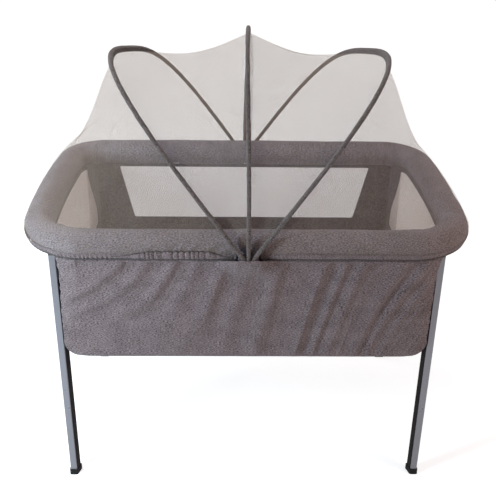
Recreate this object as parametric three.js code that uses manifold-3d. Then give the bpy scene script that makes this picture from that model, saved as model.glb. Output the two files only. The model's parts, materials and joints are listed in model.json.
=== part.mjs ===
// Portable bassinet on a four-legged stand, with a folding net canopy.
// Millimetres, +Z up, origin on the floor at the middle of the plan.
// +X is the user's right along the long rail, -Y is the front.

import * as THREE from 'three';
import { mergeVertices } from 'three/addons/utils/BufferGeometryUtils.js';
import Module from 'manifold-3d';

const wasm = await Module();
wasm.setup();

// ---- driving dimensions -----------------------------------------------------

// Top rail: a bent steel tube in a thick foam sleeve
const RAIL_HALF_X = 438;          // tube centre line, half length
const RAIL_HALF_Y = 263;          // tube centre line, half width
const RAIL_CORNER_R = 115;
const RAIL_Z = 605;
const TUBE_R = 9.5;
const TUBE_WALL = 1.5;
const PAD_R = 30;
const TUBE_SPLIT = 1;             // gap between the two tube halves

// Joiner sleeves in the middle of the long rails
const JOINER_LENGTH = 70;
const JOINER_WALL = 2.7;

// Legs: hollow profile, flat front, slanted inner face
const LEG_INSET_X = 36;           // rail's centre line to the leg's outer face
const LEG_INSET_Y = 13;           // rail's centre line to the leg's front face
const LEG_FRONT_WIDTH = 14;
const LEG_SLANT = 6;
const LEG_DEPTH = 19;
const LEG_WALL = 1.8;
const LEG_PAD_GAP = 4;            // pad's underside to the leg's top
const LEG_EDGE_R = 1.6;
const STRIP_THICKNESS = 1;
const STRIP_EDGE = 1.2;           // bare profile left on each side of the strip
const STRIP_TOP_DROP = 59;        // leg's top to the strip's top

// Rubber feet
const FOOT_HEIGHT = 14;
const FOOT_WALL = 1.8;
const FOOT_SOLE = 5;

// Corner brackets: a clamp on the tube, and a spigot below it that enters the leg
const CLAMP_LENGTH = 40;
const CLAMP_WALL = 3;
const NECK_SIZE = 13;
const SPIGOT_LENGTH = 58;
const SPIGOT_CHANNEL = 5;         // room beside the spigot for the lock button's stem
const SPIGOT_LEAD = 4;            // height of the tapered lower end
const SPIGOT_TAPER = 1.2;

// Lock buttons on the legs
const BUTTON_DROP = 33;           // leg's top to the button's middle
const BUTTON_STEM_R = 3;
const BUTTON_CAP_R = 4;
const BUTTON_CAP_HEIGHT = 1.2;
const BUTTON_TRAVEL = 2;

// Hoops of the canopy
const HOOP_PIVOT_DROP = 15;       // rail's centre line to the pivots
const HOOP_PIVOT_X = 8;
const HOOP_SPREAD_DEG = 35.3;     // lean of each side hoop
const HOOP_SIDE_HEIGHT = 415;
const HOOP_CENTRE_HEIGHT = 380;
const HOOP_SQUARENESS = 3.4;      // superellipse exponent
const HOOP_SKEW = 0.2;            // rise gained at the front shoulder, lost at the rear
const RIBBON_DEPTH = 14;
const RIBBON_THICKNESS = 5.6;
const HOOP_PAD_GAP = 3;
const BARREL_R = 3.5;
const PIN_R = 1.5;
const HUB_HALF_X = 15;
const HUB_HEIGHT = 10;
const HUB_THICKNESS = 3;
const STEM_R = 4;

// Net canopy
const NET_THICKNESS = 0.8;
const NET_SAG_END = 26;
const NET_SAG_TOP = 36;
const HEM_ANGLE_DEG = -36;        // where the hem lies on the pad, below its equator
const HEM_HEIGHT = 5;
const HEM_THICKNESS = 3;
const NET_START = 42;             // the net stops this far from the middle of the rail

// Fabric basket, sewn to the rail's cover
const TUB_DROP = 279;             // rail's centre line to the basket's underside
const RIM_SIDE_INSET = 10;        // rail's centre line to the front and rear panels
const RIM_END_ANGLE_DEG = 50;     // where the end panels meet the pad, up from its underside
const FLARE_HEIGHT = 123;         // the end panels lean out over this height below the pad
const TUB_LEG_GAP = 3;
const TUB_CORNER_R = 16;
const TUB_WALL = 2.5;
const TUB_END_ROUND = 45;
const TUB_SIDE_ROUND = 15;

// Mesh windows, placed by their margins to the basket's edges
const BACK_MARGIN_TOP = 58;
const BACK_MARGIN_BOTTOM = 91;
const END_MARGIN_TOP = 41;
const END_MARGIN_BOTTOM = 45;
const BACK_TOP_DROP = 33;         // rail's centre line to the rear window's upper edge
const END_TOP_DROP = 28;          // and to the end windows'
const WINDOW_BOTTOM_DROP = 177;
const WINDOW_CORNER_R = 8;
const MESH_THICKNESS = 1;

// Base and mattress
const BOARD_THICKNESS = 5;
const BOARD_CLEARANCE = 9;
const MATTRESS_THICKNESS = 28;
const MATTRESS_CLEARANCE = 8;
const MATTRESS_CORNER_R = 30;
const MATTRESS_EDGE_R = 9;

const GAP = 0.3;                  // between pieces that touch
const RIM_GAP = 0.6;              // between the basket's rim and the faceted bends of the pad

// ---- derived places ---------------------------------------------------------

const STRAIGHT_X = RAIL_HALF_X - RAIL_CORNER_R;
const STRAIGHT_Y = RAIL_HALF_Y - RAIL_CORNER_R;
const CORNER_ARC = RAIL_CORNER_R * Math.PI / 2;
const HALF_RAIL = 2 * STRAIGHT_X + 2 * CORNER_ARC + 2 * STRAIGHT_Y;
const PAD_BOTTOM_Z = RAIL_Z - PAD_R;
const LEG_OUTER_X = RAIL_HALF_X - LEG_INSET_X;
const LEG_INNER_X = LEG_OUTER_X - LEG_FRONT_WIDTH - LEG_SLANT;
const LEG_FRONT_Y = RAIL_HALF_Y - LEG_INSET_Y;
const LEG_BACK_Y = LEG_FRONT_Y - LEG_DEPTH;
const LEG_TOP_Z = PAD_BOTTOM_Z - LEG_PAD_GAP;
const STRIP_TOP_Z = LEG_TOP_Z - STRIP_TOP_DROP;
const BUTTON_Z = LEG_TOP_Z - BUTTON_DROP;
const HOOP_PIVOT_Z = RAIL_Z - HOOP_PIVOT_DROP;
const TUB_HALF_X = LEG_INNER_X - TUB_LEG_GAP;
const TUB_HALF_Y = RAIL_HALF_Y - RIM_SIDE_INSET;
const TUB_BOTTOM_Z = RAIL_Z - TUB_DROP;
const TUB_TOP_Z = PAD_BOTTOM_Z - GAP;
const FLARE_Z = TUB_TOP_Z - FLARE_HEIGHT;
const BACK_TOP_Z = RAIL_Z - BACK_TOP_DROP;
const END_TOP_Z = RAIL_Z - END_TOP_DROP;
const WINDOW_BOTTOM_Z = RAIL_Z - WINDOW_BOTTOM_DROP;
const HOOP_HALF_Y = RAIL_HALF_Y + PAD_R + HOOP_PAD_GAP + RIBBON_DEPTH / 2;
const HEM_ANGLE = THREE.MathUtils.degToRad(HEM_ANGLE_DEG);
const HOOP_SPREAD = THREE.MathUtils.degToRad(HOOP_SPREAD_DEG);
const NET_R = PAD_R + 3;          // outer face of the net where it wraps the pad

// ---- materials --------------------------------------------------------------

const paint = (color, roughness, metalness) =>
  new THREE.MeshStandardMaterial({ color, roughness, metalness });

const MATERIAL = {
  steel: paint(0x8d9094, 0.4, 0.9),
  legPaint: paint(0x767b88, 0.35, 0.6),
  blackPlastic: paint(0x1b1a1a, 0.5, 0),
  rubber: paint(0x141414, 0.8, 0),
  foam: paint(0x77747a, 0.95, 0),
  fabric: paint(0x6e686a, 0.95, 0),
  hoopFabric: paint(0x4a4442, 0.95, 0),
  net: paint(0xd6d0ca, 0.9, 0),
  mesh: paint(0xc9c2ba, 0.9, 0),
  board: paint(0x9b7f5e, 0.8, 0),
  mattress: paint(0xe4e1dc, 0.9, 0),
};

const bassinet = new THREE.Group();
bassinet.name = 'bassinet_on_stand';

function addMesh(name, geometry, material, position) {
  const mesh = new THREE.Mesh(geometry, material);
  mesh.name = name;
  if (position) mesh.position.copy(position);
  bassinet.add(mesh);
  return mesh;
}

// ---- solids: lofts, shells and booleans -------------------------------------

// Turns the faces outward when the solid came out inside out
function faceOut(geometry) {
  const p = geometry.attributes.position;
  const index = geometry.index.array;
  const [a, b, c] = [new THREE.Vector3(), new THREE.Vector3(), new THREE.Vector3()];
  let volume = 0;
  for (let i = 0; i < index.length; i += 3) {
    a.fromBufferAttribute(p, index[i]);
    b.fromBufferAttribute(p, index[i + 1]);
    c.fromBufferAttribute(p, index[i + 2]);
    volume += a.dot(b.cross(c));
  }
  if (volume < 0) {
    for (let i = 0; i < index.length; i += 3) {
      [index[i + 1], index[i + 2]] = [index[i + 2], index[i + 1]];
    }
  }
  return geometry;
}

function meshFrom(points, faces) {
  const geometry = new THREE.BufferGeometry();
  geometry.setFromPoints(points);
  geometry.setIndex(faces);
  return faceOut(geometry);
}

// Skins equal rings in order; `closed` joins the last ring to the first,
// otherwise each end gets a cap about the ring's middle
function loft(rings, closed = false) {
  const n = rings[0].length;
  const points = rings.flat();
  const faces = [];
  const spans = closed ? rings.length : rings.length - 1;
  for (let r = 0; r < spans; r++) {
    const a = r * n;
    const b = ((r + 1) % rings.length) * n;
    for (let i = 0; i < n; i++) {
      const j = (i + 1) % n;
      faces.push(a + i, b + i, b + j, a + i, b + j, a + j);
    }
  }
  if (!closed) {
    for (const [ring, start, flip] of [[rings[0], 0, false], [rings.at(-1), spans * n, true]]) {
      const middle = new THREE.Vector3();
      ring.forEach((p) => middle.addScaledVector(p, 1 / n));
      const m = points.push(middle) - 1;
      for (let i = 0; i < n; i++) {
        const j = (i + 1) % n;
        faces.push(m, start + (flip ? j : i), start + (flip ? i : j));
      }
    }
  }
  return meshFrom(points, faces);
}

// Closed sheet between two grids of points, grid[column][row]
function shell(front, back) {
  const columns = front.length;
  const rows = front[0].length;
  const points = [...front.flat(), ...back.flat()];
  const at = (side, i, j) => side * columns * rows + i * rows + j;
  const faces = [];
  const quad = (a, b, c, d) => faces.push(a, b, c, a, c, d);
  for (let i = 0; i + 1 < columns; i++) {
    for (let j = 0; j + 1 < rows; j++) {
      quad(at(0, i, j), at(0, i + 1, j), at(0, i + 1, j + 1), at(0, i, j + 1));
      quad(at(1, i, j), at(1, i, j + 1), at(1, i + 1, j + 1), at(1, i + 1, j));
    }
  }
  for (let i = 0; i + 1 < columns; i++) {
    quad(at(0, i, 0), at(1, i, 0), at(1, i + 1, 0), at(0, i + 1, 0));
    quad(at(0, i, rows - 1), at(0, i + 1, rows - 1), at(1, i + 1, rows - 1), at(1, i, rows - 1));
  }
  for (let j = 0; j + 1 < rows; j++) {
    quad(at(0, 0, j), at(0, 0, j + 1), at(1, 0, j + 1), at(1, 0, j));
    quad(at(0, columns - 1, j), at(1, columns - 1, j), at(1, columns - 1, j + 1), at(0, columns - 1, j + 1));
  }
  return meshFrom(points, faces);
}

// Only three's own shapes carry normals, and they repeat their corner points
const welded = (geometry) =>
  geometry.attributes.normal ? mergeVertices(bareOf(geometry), 1e-4) : geometry;

function bareOf(geometry) {
  const bare = geometry.clone();
  bare.deleteAttribute('normal');
  bare.deleteAttribute('uv');
  return bare;
}

function toSolid(geometry) {
  const merged = welded(geometry);
  return new wasm.Manifold(new wasm.Mesh({
    numProp: 3,
    vertProperties: new Float32Array(merged.attributes.position.array),
    triVerts: new Uint32Array(merged.index.array),
  }));
}

function toGeometry(solid) {
  const mesh = solid.getMesh();
  const geometry = new THREE.BufferGeometry();
  geometry.setAttribute('position', new THREE.BufferAttribute(mesh.vertProperties, 3));
  geometry.setIndex(new THREE.BufferAttribute(mesh.triVerts, 1));
  return geometry;
}

const cut = (body, ...tools) =>
  toGeometry(tools.reduce((solid, tool) => solid.subtract(toSolid(tool)), toSolid(body)));
const join = (...parts) =>
  toGeometry(parts.slice(1).reduce((solid, part) => solid.add(toSolid(part)), toSolid(parts[0])));
const common = (a, b) => toGeometry(toSolid(a).intersect(toSolid(b)));

// Cylinder from one point towards another
function rod(from, to, radius, sides = 16) {
  const axis = to.clone().sub(from);
  const geometry = new THREE.CylinderGeometry(radius, radius, axis.length(), sides);
  const turn = new THREE.Quaternion().setFromUnitVectors(
    new THREE.Vector3(0, 1, 0), axis.clone().normalize());
  const middle = from.clone().add(to).multiplyScalar(0.5);
  return geometry.applyMatrix4(new THREE.Matrix4().compose(middle, turn, new THREE.Vector3(1, 1, 1)));
}

// Solid of revolution: profile of [radius, distance along the axis] from `foot`
function turned(profile, foot, direction, sides) {
  const points = profile.map(([radius, along]) => new THREE.Vector2(radius, along));
  const turn = new THREE.Quaternion().setFromUnitVectors(new THREE.Vector3(0, 1, 0), direction);
  return faceOut(welded(new THREE.LatheGeometry(points, sides))
    .applyMatrix4(new THREE.Matrix4().compose(foot, turn, new THREE.Vector3(1, 1, 1))));
}

function block(x0, x1, y0, y1, z0, z1) {
  const geometry = new THREE.BoxGeometry(x1 - x0, y1 - y0, z1 - z0);
  return geometry.translate((x0 + x1) / 2, (y0 + y1) / 2, (z0 + z1) / 2);
}

// Moves the edges of a convex outline (anticlockwise) inwards, all by one
// distance or each by its own; edge i leaves corner i
function inset(outline, distance) {
  const n = outline.length;
  const inwards = (k) => {
    const d = outline[(k + 1) % n].clone().sub(outline[k]).normalize();
    return new THREE.Vector2(-d.y, d.x);
  };
  return outline.map((corner, i) => {
    const before = (i + n - 1) % n;
    const [n1, n2] = [inwards(before), inwards(i)];
    const [d1, d2] = [before, i].map((k) => (Array.isArray(distance) ? distance[k] : distance));
    const c = n1.dot(n2);
    return corner.clone()
      .addScaledVector(n1, (d1 - c * d2) / (1 - c * c))
      .addScaledVector(n2, (d2 - c * d1) / (1 - c * c));
  });
}

// Outline with its corners rounded
function roundedShape(outline, radius, ShapeClass = THREE.Shape) {
  const shape = new ShapeClass();
  outline.forEach((p, i) => {
    const before = outline[(i + outline.length - 1) % outline.length];
    const after = outline[(i + 1) % outline.length];
    const start = p.clone().add(before.clone().sub(p).setLength(radius));
    const end = p.clone().add(after.clone().sub(p).setLength(radius));
    if (i === 0) shape.moveTo(start.x, start.y);
    else shape.lineTo(start.x, start.y);
    shape.quadraticCurveTo(p.x, p.y, end.x, end.y);
  });
  shape.closePath();
  return shape;
}

const extrudeUp = (shape, z0, z1, curveSegments = 3) =>
  new THREE.ExtrudeGeometry(shape, { depth: z1 - z0, bevelEnabled: false, curveSegments })
    .translate(0, 0, z0);

const mirrored = (geometry, x, y) => faceOut(welded(geometry).clone().scale(x, y, 1));

// ---- the rail's centre line -------------------------------------------------

// Place and outward normal at distance s from the front middle, going left
function railAt(s) {
  const parts = [STRAIGHT_X, CORNER_ARC, 2 * STRAIGHT_Y, CORNER_ARC, STRAIGHT_X];
  let rest = s;
  let k = 0;
  while (k < 4 && rest > parts[k]) {
    rest -= parts[k];
    k += 1;
  }
  if (k === 0) return { x: -rest, y: -RAIL_HALF_Y, nx: 0, ny: -1 };
  if (k === 2) return { x: -RAIL_HALF_X, y: rest - STRAIGHT_Y, nx: -1, ny: 0 };
  if (k === 4) return { x: rest - STRAIGHT_X, y: RAIL_HALF_Y, nx: 0, ny: 1 };
  const turn = rest / RAIL_CORNER_R + (k === 1 ? 0 : Math.PI / 2);
  const nx = -Math.sin(turn);
  const ny = -Math.cos(turn);
  const cy = k === 1 ? -STRAIGHT_Y : STRAIGHT_Y;
  return { x: -STRAIGHT_X + RAIL_CORNER_R * nx, y: cy + RAIL_CORNER_R * ny, nx, ny };
}

// Stations along the left half: ends of the straights and steps round the bends
function railStations(from, to, arcSteps) {
  const marks = [from];
  const bends = [STRAIGHT_X, STRAIGHT_X + CORNER_ARC + 2 * STRAIGHT_Y];
  for (const start of bends) {
    for (let i = 0; i <= arcSteps; i++) {
      const s = start + CORNER_ARC * i / arcSteps;
      if (s > from + GAP && s < to - GAP) marks.push(s);
    }
  }
  marks.push(to);
  return marks;
}

// Circle about the rail at one station
function railRing(s, radius, sides, angle0 = 0) {
  const { x, y, nx, ny } = railAt(s);
  return Array.from({ length: sides }, (_, i) => {
    const a = angle0 + 2 * Math.PI * i / sides;
    const out = radius * Math.cos(a);
    return new THREE.Vector3(x + nx * out, y + ny * out, RAIL_Z + radius * Math.sin(a));
  });
}

// Hollow round sleeve along a stretch of the left half of the rail
function railSleeve(from, to, outerR, innerR, sides, arcSteps) {
  const stations = railStations(from, to, arcSteps);
  const outer = stations.map((s) => railRing(s, outerR, sides));
  const inner = stations.map((s) => railRing(s, innerR, sides));
  return loft([...outer, ...inner.reverse()], true);
}

const railRod = (from, to, radius, sides, arcSteps) =>
  loft(railStations(from, to, arcSteps).map((s) => railRing(s, radius, sides)));

// ---- rail tubes, joiners and foam -------------------------------------------

const TUBE_SIDES = 12;
const ARC_STEPS = 6;
const BORE_R = TUBE_R + GAP;

const tubeLeft = railSleeve(TUBE_SPLIT / 2, HALF_RAIL - TUBE_SPLIT / 2, TUBE_R, TUBE_R - TUBE_WALL,
  TUBE_SIDES, ARC_STEPS);
addMesh('rail_tube_left', tubeLeft, MATERIAL.steel);
addMesh('rail_tube_right', mirrored(tubeLeft, -1, 1), MATERIAL.steel);

const JOINER_R = BORE_R + JOINER_WALL;
const sleeveAcross = (halfLength, radius) => rod(
  new THREE.Vector3(-halfLength, -RAIL_HALF_Y, RAIL_Z),
  new THREE.Vector3(halfLength, -RAIL_HALF_Y, RAIL_Z), radius, 20);
const joiner = cut(sleeveAcross(JOINER_LENGTH / 2, JOINER_R), sleeveAcross(JOINER_LENGTH, BORE_R));
addMesh('rail_joiner_front', joiner, MATERIAL.steel);
addMesh('rail_joiner_rear', mirrored(joiner, 1, -1), MATERIAL.steel);

// ---- hoop hubs --------------------------------------------------------------

// The hub's plate stands just in front of the pad; a stem through the foam carries it
const hubTop = HOOP_PIVOT_Z + HUB_HEIGHT / 2;
const padFaceAt = (z) => RAIL_HALF_Y + Math.sqrt(PAD_R ** 2 - (RAIL_Z - z) ** 2);
const HUB_BACK_Y = padFaceAt(hubTop) + GAP;
const HUB_FACE_Y = HUB_BACK_Y + HUB_THICKNESS;
const HOOP_OUTER_Y = HOOP_HALF_Y + RIBBON_DEPTH / 2;

const hubPlateShape = roundedShape([
  new THREE.Vector2(-HUB_HALF_X, -HUB_HEIGHT / 2),
  new THREE.Vector2(HUB_HALF_X, -HUB_HEIGHT / 2),
  new THREE.Vector2(HUB_HALF_X, HUB_HEIGHT / 2),
  new THREE.Vector2(-HUB_HALF_X, HUB_HEIGHT / 2)], HUB_HEIGHT / 2.5);
const hubPlate = new THREE.ExtrudeGeometry(hubPlateShape,
  { depth: HUB_THICKNESS, bevelEnabled: false, curveSegments: 4 })
  .rotateX(Math.PI / 2)
  .translate(0, -HUB_BACK_Y, HOOP_PIVOT_Z);

const tubeMiddle = new THREE.Vector3(0, -RAIL_HALF_Y, RAIL_Z);
const hubMiddle = new THREE.Vector3(0, -(HUB_BACK_Y + HUB_THICKNESS / 2), HOOP_PIVOT_Z);
const stemWay = hubMiddle.clone().sub(tubeMiddle).normalize();
const stemFoot = tubeMiddle.clone().addScaledVector(stemWay, JOINER_R + GAP);
const hubStem = rod(stemFoot, hubMiddle, STEM_R, 12);
const PIN_HEAD_R = BARREL_R - 0.6;
const PIN_HEAD = 1.6;
const pinAt = (x) => join(
  rod(new THREE.Vector3(x, -HUB_FACE_Y + 1, HOOP_PIVOT_Z),
    new THREE.Vector3(x, -HOOP_OUTER_Y - GAP - PIN_HEAD, HOOP_PIVOT_Z), PIN_R, 10),
  rod(new THREE.Vector3(x, -HOOP_OUTER_Y - GAP, HOOP_PIVOT_Z),
    new THREE.Vector3(x, -HOOP_OUTER_Y - GAP - PIN_HEAD, HOOP_PIVOT_Z), PIN_HEAD_R, 12));
const PIVOTS = { left: -HOOP_PIVOT_X, centre: 0, right: HOOP_PIVOT_X };
const pastPlate = block(-HUB_HALF_X, HUB_HALF_X,
  -HUB_FACE_Y - HUB_HEIGHT, -HUB_FACE_Y + HUB_THICKNESS / 4, HOOP_PIVOT_Z - HUB_HEIGHT, hubTop);
const stemEnd = cut(hubStem, sleeveAcross(JOINER_LENGTH, JOINER_R + GAP), pastPlate);
const hub = join(hubPlate, stemEnd, ...Object.values(PIVOTS).map(pinAt));
addMesh('hoop_hub_front', hub, MATERIAL.blackPlastic);
addMesh('hoop_hub_rear', mirrored(hub, 1, -1), MATERIAL.blackPlastic);

// ---- legs, brackets, strips, feet and lock buttons --------------------------

// Plan of the right rear leg, anticlockwise; the other three are its mirrors
const legPlan = [
  new THREE.Vector2(LEG_INNER_X, LEG_BACK_Y),
  new THREE.Vector2(LEG_OUTER_X, LEG_BACK_Y),
  new THREE.Vector2(LEG_OUTER_X, LEG_FRONT_Y),
  new THREE.Vector2(LEG_OUTER_X - LEG_FRONT_WIDTH, LEG_FRONT_Y),
];
const slantFrom = legPlan[3];
const slantTo = legPlan[0];
const slantMiddle = slantFrom.clone().add(slantTo).multiplyScalar(0.5);
const slantAlong = slantTo.clone().sub(slantFrom).normalize();
const slantIn = new THREE.Vector2(-slantAlong.y, slantAlong.x);   // into the leg
const onSlant = (along, depth, z) => {
  const p = slantMiddle.clone().addScaledVector(slantAlong, along).addScaledVector(slantIn, depth);
  return new THREE.Vector3(p.x, p.y, z);
};

const LEG_BOTTOM_Z = FOOT_SOLE + GAP;
function makeLeg() {
  const shape = roundedShape(legPlan, LEG_EDGE_R);
  shape.holes.push(roundedShape(inset(legPlan, LEG_WALL), LEG_EDGE_R / 2, THREE.Path));
  const tube = extrudeUp(shape, LEG_BOTTOM_Z, LEG_TOP_Z);
  const hole = rod(onSlant(0, -LEG_WALL, BUTTON_Z), onSlant(0, 2 * LEG_WALL, BUTTON_Z),
    BUTTON_STEM_R + GAP, 14);
  return cut(tube, hole);
}

function makeStrip() {
  const length = slantFrom.distanceTo(slantTo) / 2 - STRIP_EDGE - LEG_EDGE_R;
  const outline = [onSlant(-length, -GAP, 0), onSlant(length, -GAP, 0),
    onSlant(length, -GAP - STRIP_THICKNESS, 0), onSlant(-length, -GAP - STRIP_THICKNESS, 0)];
  const shape = new THREE.Shape(outline.map((p) => new THREE.Vector2(p.x, p.y)));
  return extrudeUp(shape, FOOT_HEIGHT + GAP, STRIP_TOP_Z);
}

function makeFoot() {
  const outer = roundedShape(inset(legPlan, -GAP - FOOT_WALL), LEG_EDGE_R + FOOT_WALL);
  const cap = extrudeUp(outer, 0, FOOT_HEIGHT);
  const pocket = extrudeUp(roundedShape(inset(legPlan, -GAP), LEG_EDGE_R), FOOT_SOLE, FOOT_HEIGHT + 1);
  return cut(cap, pocket);
}

// The clamp wraps the bent tube above the leg; the neck goes down through the foam
const legMiddleX = LEG_OUTER_X - (LEG_FRONT_WIDTH + LEG_SLANT / 2) / 2;
const legMiddleY = (LEG_FRONT_Y + LEG_BACK_Y) / 2;
const legTurn = Math.atan2(legMiddleX - STRAIGHT_X, legMiddleY - STRAIGHT_Y);
const CLAMP_S = STRAIGHT_X + RAIL_CORNER_R * legTurn;    // front left clamp, along the rail
const CLAMP_R = BORE_R + CLAMP_WALL;
const clampStations = [-1, -0.5, 0, 0.5, 1].map((k) => CLAMP_S + k * CLAMP_LENGTH / 2);
const clampLoft = (radius, spread = 1) => mirrored(loft(clampStations
  .map((s) => railRing(CLAMP_S + (s - CLAMP_S) * spread, radius, 14))), -1, -1);

const neckBlock = (grow, z0, z1) => block(
  legMiddleX - NECK_SIZE / 2 - grow, legMiddleX + NECK_SIZE / 2 + grow,
  legMiddleY - NECK_SIZE / 2 - grow, legMiddleY + NECK_SIZE / 2 + grow, z0, z1);

function makeBracket() {
  const clamp = clampLoft(CLAMP_R);
  const bore = mirrored(railRod(CLAMP_S - CLAMP_LENGTH, CLAMP_S + CLAMP_LENGTH, BORE_R, TUBE_SIDES, ARC_STEPS),
    -1, -1);
  const neck = neckBlock(0, LEG_TOP_Z + GAP, RAIL_Z);
  const collar = extrudeUp(roundedShape(legPlan, LEG_EDGE_R), LEG_TOP_Z + GAP, PAD_BOTTOM_Z - GAP);
  return cut(join(clamp, neck, collar), bore);
}

// Fills the leg's bore but for a channel along the slanted wall
function makeSpigot() {
  const fit = LEG_WALL + GAP;
  const plan = inset(legPlan, [fit, fit, fit, LEG_WALL + SPIGOT_CHANNEL]);
  const ringAt = (outline, z) => outline.map((p) => new THREE.Vector3(p.x, p.y, z));
  const foot = LEG_TOP_Z - SPIGOT_LENGTH;
  return loft([
    ringAt(inset(plan, SPIGOT_TAPER), foot),
    ringAt(plan, foot + SPIGOT_LEAD),
    ringAt(plan, LEG_TOP_Z),
  ]);
}

// A domed cap outside the leg and a stem through its wall
function makeButton() {
  const capUnder = -BUTTON_TRAVEL - GAP;
  const reach = LEG_WALL + BUTTON_STEM_R / 5;
  return turned([
    [0, capUnder - BUTTON_CAP_HEIGHT],
    [BUTTON_CAP_R * 0.75, capUnder - BUTTON_CAP_HEIGHT],
    [BUTTON_CAP_R, capUnder - BUTTON_CAP_HEIGHT * 0.5],
    [BUTTON_CAP_R, capUnder],
    [BUTTON_STEM_R, capUnder],
    [BUTTON_STEM_R, reach],
    [0, reach],
  ], onSlant(0, 0, BUTTON_Z), new THREE.Vector3(slantIn.x, slantIn.y, 0), 14);
}

const leg = makeLeg();
const strip = makeStrip();
const foot = makeFoot();
const bracket = makeBracket();
const spigot = makeSpigot();
const button = makeButton();
const CORNERS = [['front_left', -1, -1], ['front_right', 1, -1], ['rear_left', -1, 1], ['rear_right', 1, 1]];
for (const [corner, sx, sy] of CORNERS) {
  addMesh(`leg_${corner}`, mirrored(leg, sx, sy), MATERIAL.legPaint);
  addMesh(`leg_strip_${corner}`, mirrored(strip, sx, sy), MATERIAL.blackPlastic);
  addMesh(`foot_${corner}`, mirrored(foot, sx, sy), MATERIAL.rubber);
  addMesh(`leg_bracket_${corner}`, mirrored(bracket, sx, sy), MATERIAL.blackPlastic);
  addMesh(`leg_spigot_${corner}`, mirrored(spigot, sx, sy), MATERIAL.steel);
  addMesh(`lock_button_${corner}`, mirrored(button, sx, sy), MATERIAL.blackPlastic);
}

// ---- foam sleeves -----------------------------------------------------------

const PAD_SIDES = 16;
const padBetween = (from, to) => railSleeve(from, to, PAD_R, BORE_R, PAD_SIDES, ARC_STEPS);

function makeLongPad() {
  const half = padBetween(0, STRAIGHT_X - GAP / 2);
  const whole = join(half, mirrored(half, -1, 1));
  const stemHole = rod(tubeMiddle, hubMiddle, STEM_R + GAP, 12);
  return cut(whole, sleeveAcross(JOINER_LENGTH / 2 + GAP, JOINER_R + GAP), stemHole);
}

function makeEndPad() {
  const pad = padBetween(STRAIGHT_X + GAP / 2, HALF_RAIL - STRAIGHT_X - GAP / 2);
  const clampRoom = clampLoft(CLAMP_R + GAP, 1 + 2 * GAP / CLAMP_LENGTH);
  const neckRoom = neckBlock(GAP, PAD_BOTTOM_Z - PAD_R, RAIL_Z);
  const rooms = [-1, 1].flatMap((sy) => [mirrored(clampRoom, -1, sy), mirrored(neckRoom, -1, sy)]);
  return cut(pad, ...rooms);
}

const longPad = makeLongPad();
const endPad = makeEndPad();
addMesh('rail_pad_front', longPad, MATERIAL.foam);
addMesh('rail_pad_rear', mirrored(longPad, 1, -1), MATERIAL.foam);
addMesh('rail_pad_left', endPad, MATERIAL.foam);
addMesh('rail_pad_right', mirrored(endPad, -1, 1), MATERIAL.foam);

// ---- hoops ------------------------------------------------------------------

// Half superellipse from the front pivot over the top to the rear pivot, skewed
// toward the front, in the hoop's own plane: Y is across, Z the rise from the pivots
class HoopCurve extends THREE.Curve {
  constructor(height) {
    super();
    this.height = height;
    this.arcLengthDivisions = 800;
  }

  getPoint(t) {
    const a = Math.PI * t;
    const power = 2 / HOOP_SQUARENESS;
    const share = -Math.sign(Math.cos(a)) * Math.abs(Math.cos(a)) ** power;
    const rise = this.height * Math.abs(Math.sin(a)) ** power * (1 - HOOP_SKEW * share);
    return new THREE.Vector3(0, HOOP_HALF_Y * share, rise);
  }
}

const HOOPS = {
  left: { curve: new HoopCurve(HOOP_SIDE_HEIGHT), lean: -HOOP_SPREAD, pivot: PIVOTS.left },
  centre: { curve: new HoopCurve(HOOP_CENTRE_HEIGHT), lean: 0, pivot: PIVOTS.centre },
  right: { curve: new HoopCurve(HOOP_SIDE_HEIGHT), lean: HOOP_SPREAD, pivot: PIVOTS.right },
};

// Point at share u of a hoop, `out` along the in-plane normal, `side` across the plane
function hoopPoint({ curve, lean, pivot }, u, out, side) {
  const p = curve.getPointAt(u);
  const along = curve.getTangentAt(u);
  const across = p.y - along.z * out;
  const rise = p.z + along.y * out;
  return new THREE.Vector3(
    pivot + rise * Math.sin(lean) + side * Math.cos(lean),
    across,
    HOOP_PIVOT_Z + rise * Math.cos(lean) - side * Math.sin(lean));
}

// The strands of the net run between the rail and the hoops at these shares of
// the way round, closer on the bends; the hoops bend at the same places
const STRAIGHT_STEP = 62;
const HOOP_NET_START = 0.03;
const netWay = HALF_RAIL - 2 * NET_START;
const netShares = railStations(NET_START, HALF_RAIL - NET_START, ARC_STEPS)
  .flatMap((s, i, marks) => {
    const next = marks[i + 1] ?? s;
    const steps = Math.max(1, Math.ceil((next - s) / STRAIGHT_STEP));
    return Array.from({ length: steps }, (_, k) => s + (next - s) * k / steps);
  })
  .map((s) => (s - NET_START) / netWay);
const onHoop = (share) => HOOP_NET_START + (1 - 2 * HOOP_NET_START) * share;

function makeHoop(hoop) {
  const d = RIBBON_DEPTH / 2;
  const w = RIBBON_THICKNESS / 2;
  const shares = [0, ...netShares.map(onHoop), 1];
  const rings = shares.map((u) => [[d, w], [-d, w], [-d, -w], [d, -w]]
    .map(([out, side]) => hoopPoint(hoop, u, out, side)));
  let solid = toSolid(loft(rings));
  for (const sy of [-1, 1]) {
    const barrelEnds = [HUB_FACE_Y + GAP, HOOP_OUTER_Y]
      .map((y) => new THREE.Vector3(hoop.pivot, sy * y, HOOP_PIVOT_Z));
    const boreEnds = [HUB_BACK_Y, HOOP_OUTER_Y + 2]
      .map((y) => new THREE.Vector3(hoop.pivot, sy * y, HOOP_PIVOT_Z));
    solid = solid.add(toSolid(rod(...barrelEnds, BARREL_R, 14)));
    solid = solid.subtract(toSolid(rod(...boreEnds, PIN_R + GAP, 10)));
  }
  return toGeometry(solid);
}
for (const [side, hoop] of Object.entries(HOOPS)) {
  addMesh(`hoop_${side}`, makeHoop(hoop), MATERIAL.hoopFabric);
}

// ---- net canopy -------------------------------------------------------------

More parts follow.
